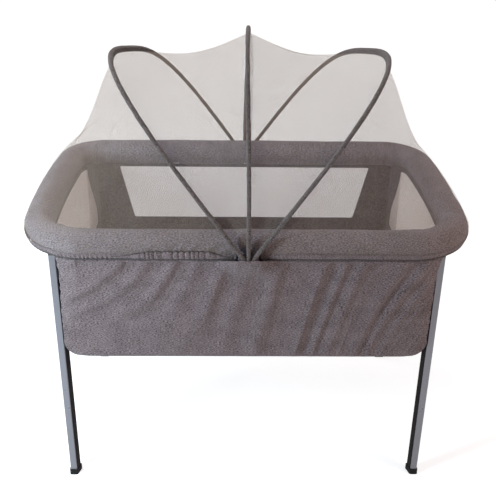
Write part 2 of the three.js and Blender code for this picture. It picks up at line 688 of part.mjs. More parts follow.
const SPAN_ROWS = 5;
const WRAP_ROWS = 3;
const NET_EDGE = RIBBON_DEPTH / 2 + GAP;

// One strand of an end panel: from the left hoop down to the pad and round it to the hem
function endStrand(share, sink) {
  const u = onHoop(share);
  const top = hoopPoint(HOOPS.left, u, -NET_EDGE - sink, -1);
  const rail = railAt(NET_START + netWay * share);
  const radius = NET_R - sink;
  const inward = (top.x - rail.x) * rail.nx + (top.y - rail.y) * rail.ny;
  const above = top.z - RAIL_Z;
  const reach = Math.max(Math.hypot(inward, above), radius);
  const leave = Math.max(Math.atan2(above, inward) - Math.acos(radius / reach), HEM_ANGLE / 2);
  const onPad = (angle) => new THREE.Vector3(
    rail.x + rail.nx * radius * Math.cos(angle),
    rail.y + rail.ny * radius * Math.cos(angle),
    RAIL_Z + radius * Math.sin(angle));
  const touch = onPad(leave);
  const sag = NET_SAG_END * Math.min(1, top.distanceTo(touch) / HOOP_SIDE_HEIGHT) ** 2;
  const strand = [];
  for (let j = 0; j <= SPAN_ROWS; j++) {
    const v = j / SPAN_ROWS;
    const p = top.clone().lerp(touch, v);
    const droop = sag * Math.sin(Math.PI * v) ** 2;
    p.x -= rail.nx * droop;
    p.y -= rail.ny * droop;
    strand.push(p);
  }
  for (let j = 1; j <= WRAP_ROWS; j++) {
    strand.push(onPad(leave + (HEM_ANGLE - leave) * j / WRAP_ROWS));
  }
  return strand;
}

// One strand of a top panel: from the left hoop across to the centre hoop
function topStrand(share, sink) {
  const u = onHoop(share);
  const from = hoopPoint(HOOPS.left, u, -NET_EDGE - sink, 1);
  const to = hoopPoint(HOOPS.centre, u, -NET_EDGE - sink, -1);
  const sag = NET_SAG_TOP * from.distanceTo(to) / HOOP_CENTRE_HEIGHT;
  return Array.from({ length: SPAN_ROWS + 1 }, (_, j) => {
    const v = j / SPAN_ROWS;
    const p = from.clone().lerp(to, v);
    const droop = sag * Math.sin(Math.PI * v);
    const towardAxis = new THREE.Vector3(0, p.y * 0.6, HOOP_PIVOT_Z).sub(p).normalize();
    return p.addScaledVector(towardAxis, droop);
  });
}

function netPanel(strand) {
  const grid = (sink) => netShares.map((share) => strand(share, sink));
  return shell(grid(0), grid(NET_THICKNESS));
}

const netEnd = netPanel(endStrand);
const netTop = netPanel(topStrand);
addMesh('net_end_left', netEnd, MATERIAL.net);
addMesh('net_end_right', mirrored(netEnd, -1, 1), MATERIAL.net);
addMesh('net_top_left', netTop, MATERIAL.net);
addMesh('net_top_right', mirrored(netTop, -1, 1), MATERIAL.net);

// Elastic hem just below the net's edge, one length for each half
function makeHem() {
  const outer = NET_R + HEM_THICKNESS / 2;
  const inner = NET_R - HEM_THICKNESS / 2;
  const turn0 = HEM_ANGLE - GAP / NET_R;
  const turn1 = turn0 - HEM_HEIGHT / NET_R;
  const section = [[outer, turn0], [inner, turn0], [inner, turn1], [outer, turn1]];
  const stations = railStations(NET_START, HALF_RAIL - NET_START, ARC_STEPS);
  return loft(stations.map((s) => {
    const { x, y, nx, ny } = railAt(s);
    return section.map(([r, a]) => new THREE.Vector3(
      x + nx * r * Math.cos(a), y + ny * r * Math.cos(a), RAIL_Z + r * Math.sin(a)));
  }));
}
const hem = makeHem();
addMesh('net_hem_left', hem, MATERIAL.hoopFabric);
addMesh('net_hem_right', mirrored(hem, -1, 1), MATERIAL.hoopFabric);

// ---- fabric basket ----------------------------------------------------------

// Half of the plan's depth lost to a round bottom edge at height z
const roundLoss = (z, radius) => {
  const up = Math.min(Math.max(radius - (z - TUB_BOTTOM_Z), 0), radius);
  return radius - Math.sqrt(radius ** 2 - up ** 2);
};
const smooth = (t) => {
  const k = Math.min(Math.max(t, 0), 1);
  return k * k * (3 - 2 * k);
};

// The end panels' plan at the rim: the rail's, moved inwards
const RIM_END_INSET = PAD_R * Math.sin(THREE.MathUtils.degToRad(RIM_END_ANGLE_DEG));
function rimEndX(y) {
  const radius = RAIL_CORNER_R - RIM_END_INSET;
  return STRAIGHT_X + Math.sqrt(radius ** 2 - Math.max(y - STRAIGHT_Y, 0) ** 2);
}

// Height of the pad's underside above a point inside the rail's centre line;
// the chords of the pad's bends reach inwards past their arc
const BEND_SAG = RAIL_CORNER_R * (1 - Math.cos(Math.PI / 4 / ARC_STEPS));
function padUnderside(x, y) {
  const dx = Math.abs(x) - STRAIGHT_X;
  const dy = Math.abs(y) - STRAIGHT_Y;
  const outwards = dx > 0 && dy > 0 ? Math.hypot(dx, dy) + BEND_SAG : Math.max(dx, dy);
  return RAIL_Z - Math.sqrt(Math.max(PAD_R ** 2 - (RAIL_CORNER_R - outwards) ** 2, 0));
}

// Plan ring of the basket at one height, `deep` inside its outer face; the top
// ring follows the pad's underside
const endFrom = Math.min(LEG_BACK_Y, TUB_HALF_Y - TUB_SIDE_ROUND - TUB_CORNER_R) - 2 * TUB_WALL;
function tubRing(z, deep) {
  const halfX = TUB_HALF_X - deep - roundLoss(z, TUB_END_ROUND);
  const halfY = TUB_HALF_Y - deep - roundLoss(z, TUB_SIDE_ROUND);
  const corner = TUB_CORNER_R - deep;
  const flare = smooth((z - FLARE_Z) / FLARE_HEIGHT);
  const quadrant = [];
  for (let i = 0; i <= 4; i++) {
    const a = Math.PI / 2 * (1 - i / 4);
    quadrant.push([halfX - corner + corner * Math.cos(a), halfY - corner + corner * Math.sin(a)]);
  }
  for (const part of [1, 0.93, 0.86, 0.75]) {
    const y = endFrom * part;
    const end = [halfX + (rimEndX(y) - TUB_HALF_X) * flare, y];
    if (part === 1) quadrant.push(quadrant.at(-1).map((v, k) => (v + end[k]) / 2));
    quadrant.push(end);
  }
  const ring = [];
  for (const [sx, sy] of [[1, 1], [1, -1], [-1, -1], [-1, 1]]) {
    const half = quadrant.map(([x, y]) =>
      new THREE.Vector3(sx * x, sy * y, z === TUB_TOP_Z ? padUnderside(x, y) - RIM_GAP : z));
    ring.push(...(sx === sy ? half : half.reverse()));
  }
  return ring;
}

const tubLevels = [TUB_BOTTOM_Z, ...[0.07, 0.2, 0.45, 1].map((k) => TUB_BOTTOM_Z + TUB_END_ROUND * k),
  ...[0, 0.25, 0.5, 0.75].map((k) => FLARE_Z + FLARE_HEIGHT * k), TUB_TOP_Z];

// Cup whose wall runs from `deepOut` to `deepIn` inside the basket's outer face
function tubCup(deepOut, deepIn) {
  const outer = tubLevels.map((z) => tubRing(z + (z === TUB_BOTTOM_Z ? deepOut : 0), deepOut));
  const inner = tubLevels.map((z) => tubRing(z + (z === TUB_BOTTOM_Z ? deepIn : 0), deepIn));
  return loft([...outer, ...inner.reverse()]);
}

// Prism along Y through a wall, `top` and `bottom` wide by half, its upper edge at
// topZ; `shrink` moves its sides in
function windowPrism(top, bottom, topZ, shrink, depth) {
  const outline = [
    new THREE.Vector2(-bottom, WINDOW_BOTTOM_Z), new THREE.Vector2(bottom, WINDOW_BOTTOM_Z),
    new THREE.Vector2(top, topZ), new THREE.Vector2(-top, topZ)];
  return new THREE.ExtrudeGeometry(roundedShape(inset(outline, shrink), WINDOW_CORNER_R),
    { depth, bevelEnabled: false, curveSegments: 4 }).rotateX(Math.PI / 2);
}
const backPrism = (shrink) =>
  windowPrism(TUB_HALF_X - BACK_MARGIN_TOP, TUB_HALF_X - BACK_MARGIN_BOTTOM, BACK_TOP_Z,
    shrink, 2 * TUB_CORNER_R)
    .translate(0, TUB_HALF_Y + TUB_CORNER_R, 0);
const endPrism = (shrink) =>
  windowPrism(TUB_HALF_Y - END_MARGIN_TOP, TUB_HALF_Y - END_MARGIN_BOTTOM, END_TOP_Z,
    shrink, RAIL_HALF_X - STRAIGHT_X)
    .rotateZ(Math.PI / 2)
    .translate(STRAIGHT_X, 0, 0);

const tub = cut(tubCup(0, TUB_WALL), backPrism(0), endPrism(0), mirrored(endPrism(0), -1, 1));
addMesh('basket_tub', tub, MATERIAL.fabric);

const meshInset = (TUB_WALL - MESH_THICKNESS) / 2;
const meshCup = tubCup(meshInset, meshInset + MESH_THICKNESS);
const endMesh = common(meshCup, endPrism(GAP));
addMesh('window_mesh_back', common(meshCup, backPrism(GAP)), MATERIAL.mesh);
addMesh('window_mesh_right', endMesh, MATERIAL.mesh);
addMesh('window_mesh_left', mirrored(endMesh, -1, 1), MATERIAL.mesh);

// ---- base boards and mattress -----------------------------------------------

// Inner faces of the basket's end and side walls at height z
const innerX = (z) => TUB_HALF_X - TUB_WALL - roundLoss(z, TUB_END_ROUND);
const innerY = (z) => TUB_HALF_Y - TUB_WALL - roundLoss(z, TUB_SIDE_ROUND);

const BOARD_Z = TUB_BOTTOM_Z + TUB_WALL + GAP;
const boardHalfY = innerY(BOARD_Z) - BOARD_CLEARANCE;
const board = block(GAP / 2, innerX(BOARD_Z) - BOARD_CLEARANCE, -boardHalfY, boardHalfY,
  BOARD_Z, BOARD_Z + BOARD_THICKNESS);
addMesh('base_board_right', board, MATERIAL.board);
addMesh('base_board_left', mirrored(board, -1, 1), MATERIAL.board);

// Pad with round corners and rolled edges
function makeMattress() {
  const bottom = BOARD_Z + BOARD_THICKNESS + GAP;
  const ringAt = (z, loss) => {
    const corner = MATTRESS_CORNER_R - loss;
    const halfX = innerX(bottom) - MATTRESS_CLEARANCE - loss;
    const halfY = innerY(bottom) - MATTRESS_CLEARANCE - loss;
    const ring = [];
    for (let quarter = 0; quarter < 4; quarter++) {
      const cx = (halfX - corner) * (quarter === 0 || quarter === 3 ? 1 : -1);
      const cy = (halfY - corner) * (quarter < 2 ? 1 : -1);
      for (let i = 0; i <= 4; i++) {
        const a = Math.PI / 2 * (quarter + i / 4);
        ring.push(new THREE.Vector3(cx + corner * Math.cos(a), cy + corner * Math.sin(a), z));
      }
    }
    return ring;
  };
  const rings = [];
  for (let i = 0; i <= 3; i++) {
    const a = Math.PI / 2 * i / 3;
    const loss = MATTRESS_EDGE_R * (1 - Math.sin(a));
    rings.push(ringAt(bottom + MATTRESS_EDGE_R * (1 - Math.cos(a)), loss));
  }
  const upper = rings.map((ring, i) => ring.map((p) =>
    new THREE.Vector3(p.x, p.y, 2 * bottom + MATTRESS_THICKNESS - rings[i][0].z)));
  return loft([...rings, ...upper.reverse()]);
}
addMesh('mattress', makeMattress(), MATERIAL.mattress);

export default bassinet;
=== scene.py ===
"""Looks of the bassinet on stand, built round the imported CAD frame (metres, +Z up)."""

import json
from math import cos, pi, radians, sin

import bmesh
import bpy
import numpy as np
from mathutils import Matrix, Vector


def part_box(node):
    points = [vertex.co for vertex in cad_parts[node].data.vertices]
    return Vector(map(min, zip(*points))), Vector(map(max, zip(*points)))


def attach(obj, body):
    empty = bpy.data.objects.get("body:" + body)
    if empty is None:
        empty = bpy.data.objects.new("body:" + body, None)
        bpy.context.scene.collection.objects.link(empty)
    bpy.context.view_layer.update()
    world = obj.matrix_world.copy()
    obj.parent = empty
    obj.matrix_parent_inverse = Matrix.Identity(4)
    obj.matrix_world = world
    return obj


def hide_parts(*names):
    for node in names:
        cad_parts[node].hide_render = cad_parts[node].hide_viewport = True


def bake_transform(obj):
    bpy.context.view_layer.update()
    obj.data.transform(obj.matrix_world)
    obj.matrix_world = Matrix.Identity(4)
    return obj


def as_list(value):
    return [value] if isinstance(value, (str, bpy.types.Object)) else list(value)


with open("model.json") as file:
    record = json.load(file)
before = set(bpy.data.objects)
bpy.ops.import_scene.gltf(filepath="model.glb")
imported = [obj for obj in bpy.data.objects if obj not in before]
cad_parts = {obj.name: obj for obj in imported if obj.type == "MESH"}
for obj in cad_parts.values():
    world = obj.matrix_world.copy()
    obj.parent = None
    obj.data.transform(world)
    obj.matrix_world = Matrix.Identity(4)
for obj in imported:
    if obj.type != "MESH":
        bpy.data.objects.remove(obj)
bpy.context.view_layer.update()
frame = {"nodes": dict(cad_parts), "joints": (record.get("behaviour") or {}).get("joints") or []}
nodes = frame["nodes"]

# ---- camera ----

CAMERA_AT = Vector((-0.0355, -1.7143, 1.3303))
CAMERA_DOWN = 0.4667  # radians below the horizon
CAMERA_YAW = 0.0241  # towards +X
CAMERA_ROLL = 0.0161
CAMERA_LENS = 58.85  # millimetres
CAMERA_SHIFT = -0.006  # share of the picture's longer side


def make_camera():
    """The photograph's viewpoint, looking down over the front rail."""
    ahead = Vector((sin(CAMERA_YAW) * cos(CAMERA_DOWN),
                    cos(CAMERA_YAW) * cos(CAMERA_DOWN),
                    -sin(CAMERA_DOWN)))
    level = Vector((cos(CAMERA_YAW), -sin(CAMERA_YAW), 0))
    up = level.cross(ahead)
    right = level * cos(CAMERA_ROLL) + up * sin(CAMERA_ROLL)
    top = up * cos(CAMERA_ROLL) - level * sin(CAMERA_ROLL)
    data = bpy.data.cameras.new("camera")
    data.lens = CAMERA_LENS
    data.shift_y = CAMERA_SHIFT
    camera = new_object("camera", data)
    turn = Matrix((right, top, -ahead)).transposed().to_4x4()
    camera.matrix_world = Matrix.Translation(CAMERA_AT) @ turn
    bpy.context.scene.camera = camera


# ---- sizes read from the frame ----

pad_low, pad_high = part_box("rail_pad_front")
end_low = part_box("rail_pad_left")[0]
hub_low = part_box("hoop_hub_front")[0]
tub_low, tub_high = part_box("basket_tub")
leg_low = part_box("leg_front_right")[0]

PIN_REACH = 0.0173  # of the hubs' pins, out of their plate
LEG_GAP = 0.0034  # between a leg's inner face and the basket

PAD_R = (pad_high.z - pad_low.z) / 2
RAIL_Z = (pad_high.z + pad_low.z) / 2
RAIL_Y = -(pad_low.y + PAD_R)  # half width of the rail's centre line
RAIL_X = -(end_low.x + PAD_R)  # half length
CORNER_R = RAIL_X - pad_high.x
PIVOTS = {j["child"]: j["pos_m"] for j in frame["joints"] if j["name"].startswith("hoop")}
PIVOT_Z = PIVOTS["hoop_left"][2]
PIVOT_X = PIVOTS["hoop_right"][0]
HUB_FACE = -hub_low.y - PIN_REACH  # outer face of the pivots' plate

TUB_Y = tub_high.y
TUB_X = leg_low.x - LEG_GAP  # half length of the basket beside the legs
TUB_BOTTOM = tub_low.z
PAD_BOTTOM = RAIL_Z - PAD_R


# ---- smooth random heights ----

LINE_KNOTS, GRID_KNOTS = 997, 97  # random knots before unperiodic heights repeat


def ease(t):
    t = np.clip(t, 0, 1)
    return t * t * (3 - 2 * t)


def knots_along(t, size, period, count):
    """Place among knots `size` apart, and how many there are; a period changes both to fit."""
    if period is not None:
        count = max(2, round(period / size))
        size = period / count
    return np.asarray(t, float) / size, count


def ripple(t, wavelength, seed, period=None):
    """Smooth random height from -1 to 1 along t; it repeats after `period`."""
    k, count = knots_along(t, wavelength, period, LINE_KNOTS)
    knots = np.random.default_rng(seed).uniform(-1, 1, count)
    i = np.floor(k).astype(int)
    f = ease(k - i)
    return knots[i % count] * (1 - f) + knots[(i + 1) % count] * f


def rumple(u, v, size_u, size_v, seed, period=None):
    """Smooth random height from -1 to 1 over a surface; it repeats along u after `period`."""
    ku, count = knots_along(u, size_u, period, GRID_KNOTS)
    kv = np.asarray(v, float) / size_v
    knots = np.random.default_rng(seed).uniform(-1, 1, (count, GRID_KNOTS))
    i, j = np.floor(ku).astype(int), np.floor(kv).astype(int)
    f, g = ease(ku - i), ease(kv - j)
    at = lambda a, b: knots[a % count, b % GRID_KNOTS]
    near = at(i, j) * (1 - g) + at(i, j + 1) * g
    far = at(i + 1, j) * (1 - g) + at(i + 1, j + 1) * g
    return near * (1 - f) + far * f


# ---- mesh making ----

def new_object(name, mesh):
    obj = bpy.data.objects.new(name, mesh)
    bpy.context.scene.collection.objects.link(obj)
    return obj


def mesh_object(name, points, faces, uvs=None, smooth=True):
    mesh = bpy.data.meshes.new(name)
    mesh.from_pydata(np.reshape(points, (-1, 3)).tolist(), [], [tuple(map(int, f)) for f in faces])
    if uvs is not None:
        layer = mesh.uv_layers.new(name="UVMap")
        loop_vertex = np.empty(len(mesh.loops), int)
        mesh.loops.foreach_get("vertex_index", loop_vertex)
        layer.data.foreach_set("uv", np.reshape(uvs, (-1, 2))[loop_vertex].ravel())
    mesh.validate()
    if smooth:
        mesh.shade_smooth()
    return new_object(name, mesh)


def grid_faces(columns, rows, round_columns=False, round_rows=False):
    """Quads of a grid whose vertex number is column * rows + row."""
    c = np.arange(columns if round_columns else columns - 1)
    r = np.arange(rows if round_rows else rows - 1)
    c, r = (a.ravel() for a in np.meshgrid(c, r, indexing="ij"))
    c1, r1 = (c + 1) % columns, (r + 1) % rows
    return np.stack([c * rows + r, c1 * rows + r, c1 * rows + r1, c * rows + r1], 1)


def pairs(a, b):
    """Two arrays side by side in a new last axis."""
    return np.stack(np.broadcast_arrays(a, b), -1)


def sheet_from(name, points, uv, thickness=0.0):
    """Cloth from a grid of points [column, row]; a thickness makes it a closed skin."""
    obj = mesh_object(name, points, grid_faces(*points.shape[:2]), uv)
    return solidify(obj, thickness) if thickness else obj


def applied(obj):
    """Turns the object's modifiers into plain mesh."""
    graph = bpy.context.evaluated_depsgraph_get()
    graph.update()
    mesh = bpy.data.meshes.new_from_object(obj.evaluated_get(graph))
    obj.modifiers.clear()
    obj.data = mesh
    return obj


def solidify(obj, thickness):
    modifier = obj.modifiers.new("thickness", "SOLIDIFY")
    modifier.thickness = thickness
    modifier.offset = 0
    return applied(obj)


def face_outwards(obj):
    work = bmesh.new()
    work.from_mesh(obj.data)
    bmesh.ops.recalc_face_normals(work, faces=work.faces)
    work.to_mesh(obj.data)
    work.free()
    return obj


def tube_faces(stations, corners, round_path=False):
    """Quads of a tube; its ends are closed where its path is not."""
    faces = [tuple(f) for f in grid_faces(stations, corners, round_path, True)]
    if not round_path:
        faces.append(tuple(range(corners))[::-1])
        faces.append(tuple(range((stations - 1) * corners, stations * corners)))
    return faces


def sweep(name, rings, uv=None, round_path=False):
    """Closed tube through rings of points [station, corner]."""
    return face_outwards(mesh_object(name, rings, tube_faces(*rings.shape[:2], round_path), uv))


def ring_angles(count):
    return np.linspace(0, 2 * pi, count, endpoint=False)


def unit(v):
    return v / np.maximum(np.linalg.norm(v, axis=-1, keepdims=True), 1e-12)


def ways_across(tangent, hint):
    """Two unit vectors across each tangent: the one nearest to the hint, and the other."""
    hint = np.broadcast_to(np.asarray(hint, float), tangent.shape)
    near = unit(hint - tangent * np.sum(hint * tangent, 1, keepdims=True))
    return near, np.cross(tangent, near)


def run_of(path):
    """Length along a path up to each of its points."""
    return np.cumsum(np.r_[0, np.linalg.norm(np.diff(path, axis=0), axis=1)])


def tube_along(name, path, radius, sides, hint=(0, 0, 1), round_path=False, flat=1.0):
    """Cord or piping along a path of points; `flat` squeezes it across the hint."""
    up, side = ways_across(unit(np.gradient(path, axis=0)), hint)
    a = ring_angles(sides)
    rings = (path[:, None] + radius * np.cos(a)[None, :, None] * up[:, None]
             + radius * flat * np.sin(a)[None, :, None] * side[:, None])
    return sweep(name, rings, pairs(run_of(path)[:, None], a[None] * radius), round_path)


def resampled(path, step):
    """The same path with points every `step` along it."""
    along = run_of(path)
    marks = np.linspace(0, along[-1], max(2, round(along[-1] / step) + 1))
    return np.stack([np.interp(marks, along, path[:, k]) for k in range(3)], 1)


STITCH_SIDES = 6
# rings of a stitch: place in its length, size and height in its radius
STITCH_ALONG = np.array([-0.5, -0.42, -0.2, 0.2, 0.42, 0.5])
STITCH_SIZE = np.array([0.2, 0.75, 1, 1, 0.75, 0.2])
STITCH_HEIGHT = np.array([-0.6, 0, 0.5, 0.5, 0, -0.6])


def stitches(name, rows, pitch, length, radius):
    """Beads sunk at both ends, along rows that are each a path and the cloth's normal."""
    points = []
    for path, out in rows:
        path = resampled(path, pitch)
        middle = (path[1:] + path[:-1]) / 2
        tangent = unit(path[1:] - path[:-1])
        up, side = ways_across(tangent, out)
        along, fat, lift = STITCH_ALONG * length, STITCH_SIZE * radius, STITCH_HEIGHT * radius
        a = ring_angles(STITCH_SIDES)
        points.append(
            middle[:, None, None] + along[None, :, None, None] * tangent[:, None, None]
            + (lift[:, None] + fat[:, None] * np.sin(a))[None, :, :, None] * up[:, None, None]
            + (fat[:, None] * np.cos(a))[None, :, :, None] * side[:, None, None])
    points = np.concatenate(points)
    size = len(STITCH_ALONG) * STITCH_SIDES
    faces = [tuple(i + k * size for i in f) for k in range(len(points))
             for f in tube_faces(len(STITCH_ALONG), STITCH_SIDES)]
    return face_outwards(mesh_object(name, points, faces))


# ---- materials ----

def fill(tree, made, inputs):
    """Gives a node's inputs, named or numbered, values or sockets."""
    for key, value in inputs.items():
        if isinstance(value, bpy.types.NodeSocket):
            tree.links.new(value, made.inputs[key])
        else:
            made.inputs[key].default_value = value


def node(tree, kind, inputs={}, **settings):
    made = tree.nodes.new("ShaderNode" + kind)
    for key, value in settings.items():
        setattr(made, key, value)
    fill(tree, made, inputs)
    return made


def math_of(tree, operation, *values):
    return node(tree, "Math", dict(enumerate(values)), operation=operation).outputs[0]


def remap(tree, value, low, high, to_low=0.0, to_high=1.0):
    return node(tree, "MapRange", {"Value": value, "From Min": low, "From Max": high,
                                   "To Min": to_low, "To Max": to_high}).outputs[0]


def noise_of(tree, place, stretch, detail=2.0, roughness=0.5, shift=0.0):
    """Noise whose grains measure 1 / stretch metres along each axis."""
    moved = node(tree, "Mapping", {"Vector": place, "Scale": stretch,
                                   "Location": (shift, shift, shift)})
    return node(tree, "TexNoise", {"Vector": moved.outputs[0], "Scale": 1.0, "Detail": detail,
                                   "Roughness": roughness}).outputs["Fac"]


MIX_FACTOR, MIX_A, MIX_B, MIX_RESULT = 0, 6, 7, 2  # a colour Mix node's sockets


def mixed(tree, factor, a, b):
    """A colour from a to b, each a socket or a (red, green, blue)."""
    a, b = (c if isinstance(c, bpy.types.NodeSocket) else (*c, 1.0) for c in (a, b))
    return node(tree, "Mix", {MIX_FACTOR: factor, MIX_A: a, MIX_B: b},
                data_type="RGBA").outputs[MIX_RESULT]


def scaled(values, by):
    return tuple(v * by for v in values)


def shader_of(name, coordinates="UV"):
    material = bpy.data.materials.new(name)
    material.use_nodes = True
    tree = material.node_tree
    place = node(tree, "TexCoord").outputs[coordinates]
    return material, tree, place, tree.nodes["Principled BSDF"]


def bump_of(tree, height, strength, distance):
    return node(tree, "Bump", {"Height": height, "Strength": strength,
                               "Distance": distance}).outputs[0]


WEAVE = 0.0011  # pitch of the cloths' threads
MOTTLE = (28, 34, 34)  # patches of uneven dye per metre


def heather(name, dark, light, coordinates="UV", grain=(500, 500, 500)):
    """Grey melange weave: dark and pale yarns side by side along the first axis."""
    material, tree, place, shader = shader_of(name, coordinates)
    yarn = noise_of(tree, place, grain, 2.5, 0.62)
    speck = noise_of(tree, place, scaled(grain, 2.1), 1.0, 0.5, 7.3)
    mottle = noise_of(tree, place, MOTTLE, 2.0, 0.5, 3.1)
    tone = math_of(tree, "ADD", remap(tree, yarn, 0.34, 0.66),
                   remap(tree, speck, 0.25, 0.75, -0.22, 0.22))
    tone = math_of(tree, "ADD", tone, remap(tree, mottle, 0.2, 0.8, -0.13, 0.13))
    tone = node(tree, "Clamp", {"Value": tone}).outputs[0]
    part = node(tree, "SeparateXYZ", {"Vector": place})
    rows = [math_of(tree, "SINE", math_of(tree, "MULTIPLY", part.outputs[k], 2 * pi / WEAVE))
            for k in ((0, 1) if coordinates == "UV" else (0, 2))]
    cross = math_of(tree, "MULTIPLY", *rows)
    height = math_of(tree, "ADD", math_of(tree, "MULTIPLY", cross, 0.3), yarn)
    fill(tree, shader, {"Base Color": mixed(tree, tone, dark, light), "Roughness": 0.93,
                        "Specular IOR Level": 0.25, "Sheen Weight": 0.18, "Sheen Roughness": 0.45,
                        "Normal": bump_of(tree, height, 0.55, 0.0006)})
    return material


NET_UNEVEN, NET_MOTTLE = 0.10, 0.12  # of the threads' width and colour


def netting(name, colour, pitch, thread, turn=0.0):
    """Net of fine threads with clear holes between them, `turn` radians off straight."""
    material, tree, place, shader = shader_of(name)
    turned = node(tree, "Mapping", {"Vector": place, "Rotation": (0, 0, turn)}).outputs[0]
    part = node(tree, "SeparateXYZ", {"Vector": turned})
    cloud = noise_of(tree, place, (40, 40, 40), 2.0, 0.5, 1.7)
    width = remap(tree, cloud, 0.2, 0.8, thread * (1 - NET_UNEVEN), thread * (1 + NET_UNEVEN))
    lines = []
    for k in (0, 1):
        across = math_of(tree, "FRACT", math_of(tree, "DIVIDE", part.outputs[k], pitch))
        lines.append(math_of(tree, "LESS_THAN", across, math_of(tree, "DIVIDE", width, pitch)))
    shade = mixed(tree, cloud, scaled(colour, 1 - NET_MOTTLE), scaled(colour, 1 + NET_MOTTLE))
    fill(tree, shader, {"Base Color": shade, "Alpha": math_of(tree, "MAXIMUM", *lines),
                        "Roughness": 0.7, "Specular IOR Level": 0.2})
    return material


PATCHES = 35  # patches of uneven gloss per metre
GLOSS_VARIES = 0.15


def hard(name, colour, roughness, metallic=0.0, mottling=0.1, grain=900, wear=0.0,
         stretch=(1, 1, 1), shine=0.5):
    """Plastic, paint or metal with fine orange peel, uneven gloss and lighter rubbed patches."""
    material, tree, place, shader = shader_of(name, "Object")
    peel = noise_of(tree, place, scaled(stretch, grain), 2.0, 0.6)
    patch = noise_of(tree, place, scaled(stretch, PATCHES), 3.0, 0.6, 5.9)
    shade = mixed(tree, patch, scaled(colour, 1 - mottling), scaled(colour, 1 + mottling))
    if wear:
        rubbed = remap(tree, patch, 0.62, 0.72, 0.0, wear)
        shade = mixed(tree, rubbed, shade, [0.5 + 0.5 * c for c in colour])
    gloss = remap(tree, patch, 0.2, 0.8, roughness * (1 - GLOSS_VARIES),
                  roughness * (1 + GLOSS_VARIES))
    fill(tree, shader, {"Base Color": shade, "Roughness": gloss, "Metallic": metallic,
                        "Specular IOR Level": shine, "Normal": bump_of(tree, peel, 0.25, 0.0002)})
    return material


# cloths: colours of the dark and the pale yarns, and grains of yarn per metre
SKIRT = heather("skirt_weave", (0.026, 0.016, 0.016), (0.325, 0.254, 0.258), grain=(240, 700, 700))
COVER = heather("rail_weave", (0.034, 0.030, 0.033), (0.38, 0.335, 0.38), grain=(240, 560, 560))
SHELL = heather("basket_weave", (0.038, 0.034, 0.038), (0.215, 0.20, 0.228), "Object",
                (420, 640, 480))
SLEEVE = heather("hoop_weave", (0.016, 0.011, 0.010), (0.24, 0.20, 0.19), grain=(330, 500, 500))
# hem cloth: the elastic hem is real, but its very dark yarns are painted shade along the net's hem
HEM_WITH_PAINTED_SHADE = heather("hem_weave_painted_shade", (0.022, 0.017, 0.017), (0.13, 0.105, 0.10), grain=(700, 700, 700))
QUILT = heather("mattress_cloth", (0.58, 0.56, 0.53), (0.86, 0.84, 0.81), "Object")
# nets: colour, pitch and width of the threads
NET = netting("canopy_net", (0.29, 0.215, 0.165), 0.0015, 0.000245, 0.65)
WINDOW = netting("window_net", (0.62, 0.53, 0.53), 0.0012, 0.00048)
END_WINDOW_NET = netting("end_window_net", (0.72, 0.60, 0.54), 0.0012, 0.00077)
# the rest: colour, roughness, metallic, mottling and grains per metre
THREAD = hard("thread", (0.17, 0.15, 0.15), 0.8)
PAINT = hard("leg_paint", (0.20, 0.20, 0.22), 0.30, 0.5, 0.05, 1400)
STEEL = hard("tube_steel", (0.55, 0.56, 0.58), 0.32, 1.0, 0.06, 600, stretch=(0.1, 0.1, 3))
PLASTIC = hard("black_plastic", (0.014, 0.012, 0.012), 0.45, 0.0, 0.2, 1500, 0.04, shine=0.3)
# the legs' inner faces: near-black with almost no gloss, painted shade standing in for the shade
# that falls on those faces
LEG_INNER_PAINTED_SHADE = hard("leg_inner_painted_shade", (0.012, 0.009, 0.008), 0.7, 0.0, 0.2, 1500, shine=0.08)
RUBBER = hard("foot_rubber", (0.016, 0.015, 0.015), 0.8, 0.0, 0.25, 1100, shine=0.15)
WOOD = hard("fibreboard", (0.42, 0.30, 0.19), 0.7, 0.0, 0.25, 500, stretch=(0.15, 2, 2))


def finished(obj, material, body="frame", replaces=()):
    """Gives a piece its material and body, and the CAD nodes that it stands for."""
    obj.data.materials.clear()
    obj.data.materials.append(material)
    if body:
        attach(obj, body)
    if replaces:
        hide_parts(*replaces)
    return obj


# the legs' inner strips get the near-black painted-shade finish
for material, starts in (
        (STEEL, ("rail_tube", "rail_joiner", "leg_spigot")), (LEG_INNER_PAINTED_SHADE, "leg_strip"),
        (PLASTIC, ("leg_bracket", "lock_button", "hoop_hub")), (WOOD, "base_board"),
        (PAINT, ("leg_front", "leg_rear")), (RUBBER, "foot")):
    for name in filter(lambda name: name.startswith(starts), nodes):
        for place in nodes[name].material_slots:
            place.material = material


# ---- the rail and its cover ----

FRONT_R, REAR_R = CORNER_R - 0.012, CORNER_R - 0.038  # bends of the padded cover
BOW = 0.014  # the ends lie this much further in at the bends
BOW_FROM, BOW_OVER = 0.30, 0.10  # from this far out, growing over this length
FRONT_X, REAR_X = RAIL_X - FRONT_R, RAIL_X - REAR_R
FRONT_ARC, REAR_ARC = pi / 2 * FRONT_R, pi / 2 * REAR_R
END_WAY = 2 * RAIL_Y - FRONT_R - REAR_R
MARKS = np.cumsum([0, FRONT_X, FRONT_ARC, END_WAY, REAR_ARC, 2 * REAR_X, REAR_ARC, END_WAY,
                   FRONT_ARC, FRONT_X])
RAIL_LENGTH = MARKS[-1]
TURNS = np.radians([-90, -90, 0, 0, 90, 90, 180, 180, 270, 270])
RADII = np.array([FRONT_R] * 3 + [REAR_R] * 4 + [FRONT_R] * 3)
BENDS = np.array([(0, -1), (1, -1), (1, -1), (1, 1), (1, 1), (-1, 1), (-1, 1), (-1, -1),
                  (-1, -1), (0, -1)]) * np.stack([RAIL_X - RADII, RAIL_Y - RADII], 1)


def bowed(x, y):
    """x moved inwards towards the front and rear of the ends."""
    return x - np.sign(x) * BOW * (y / RAIL_Y) ** 2 * ease((np.abs(x) - BOW_FROM) / BOW_OVER)


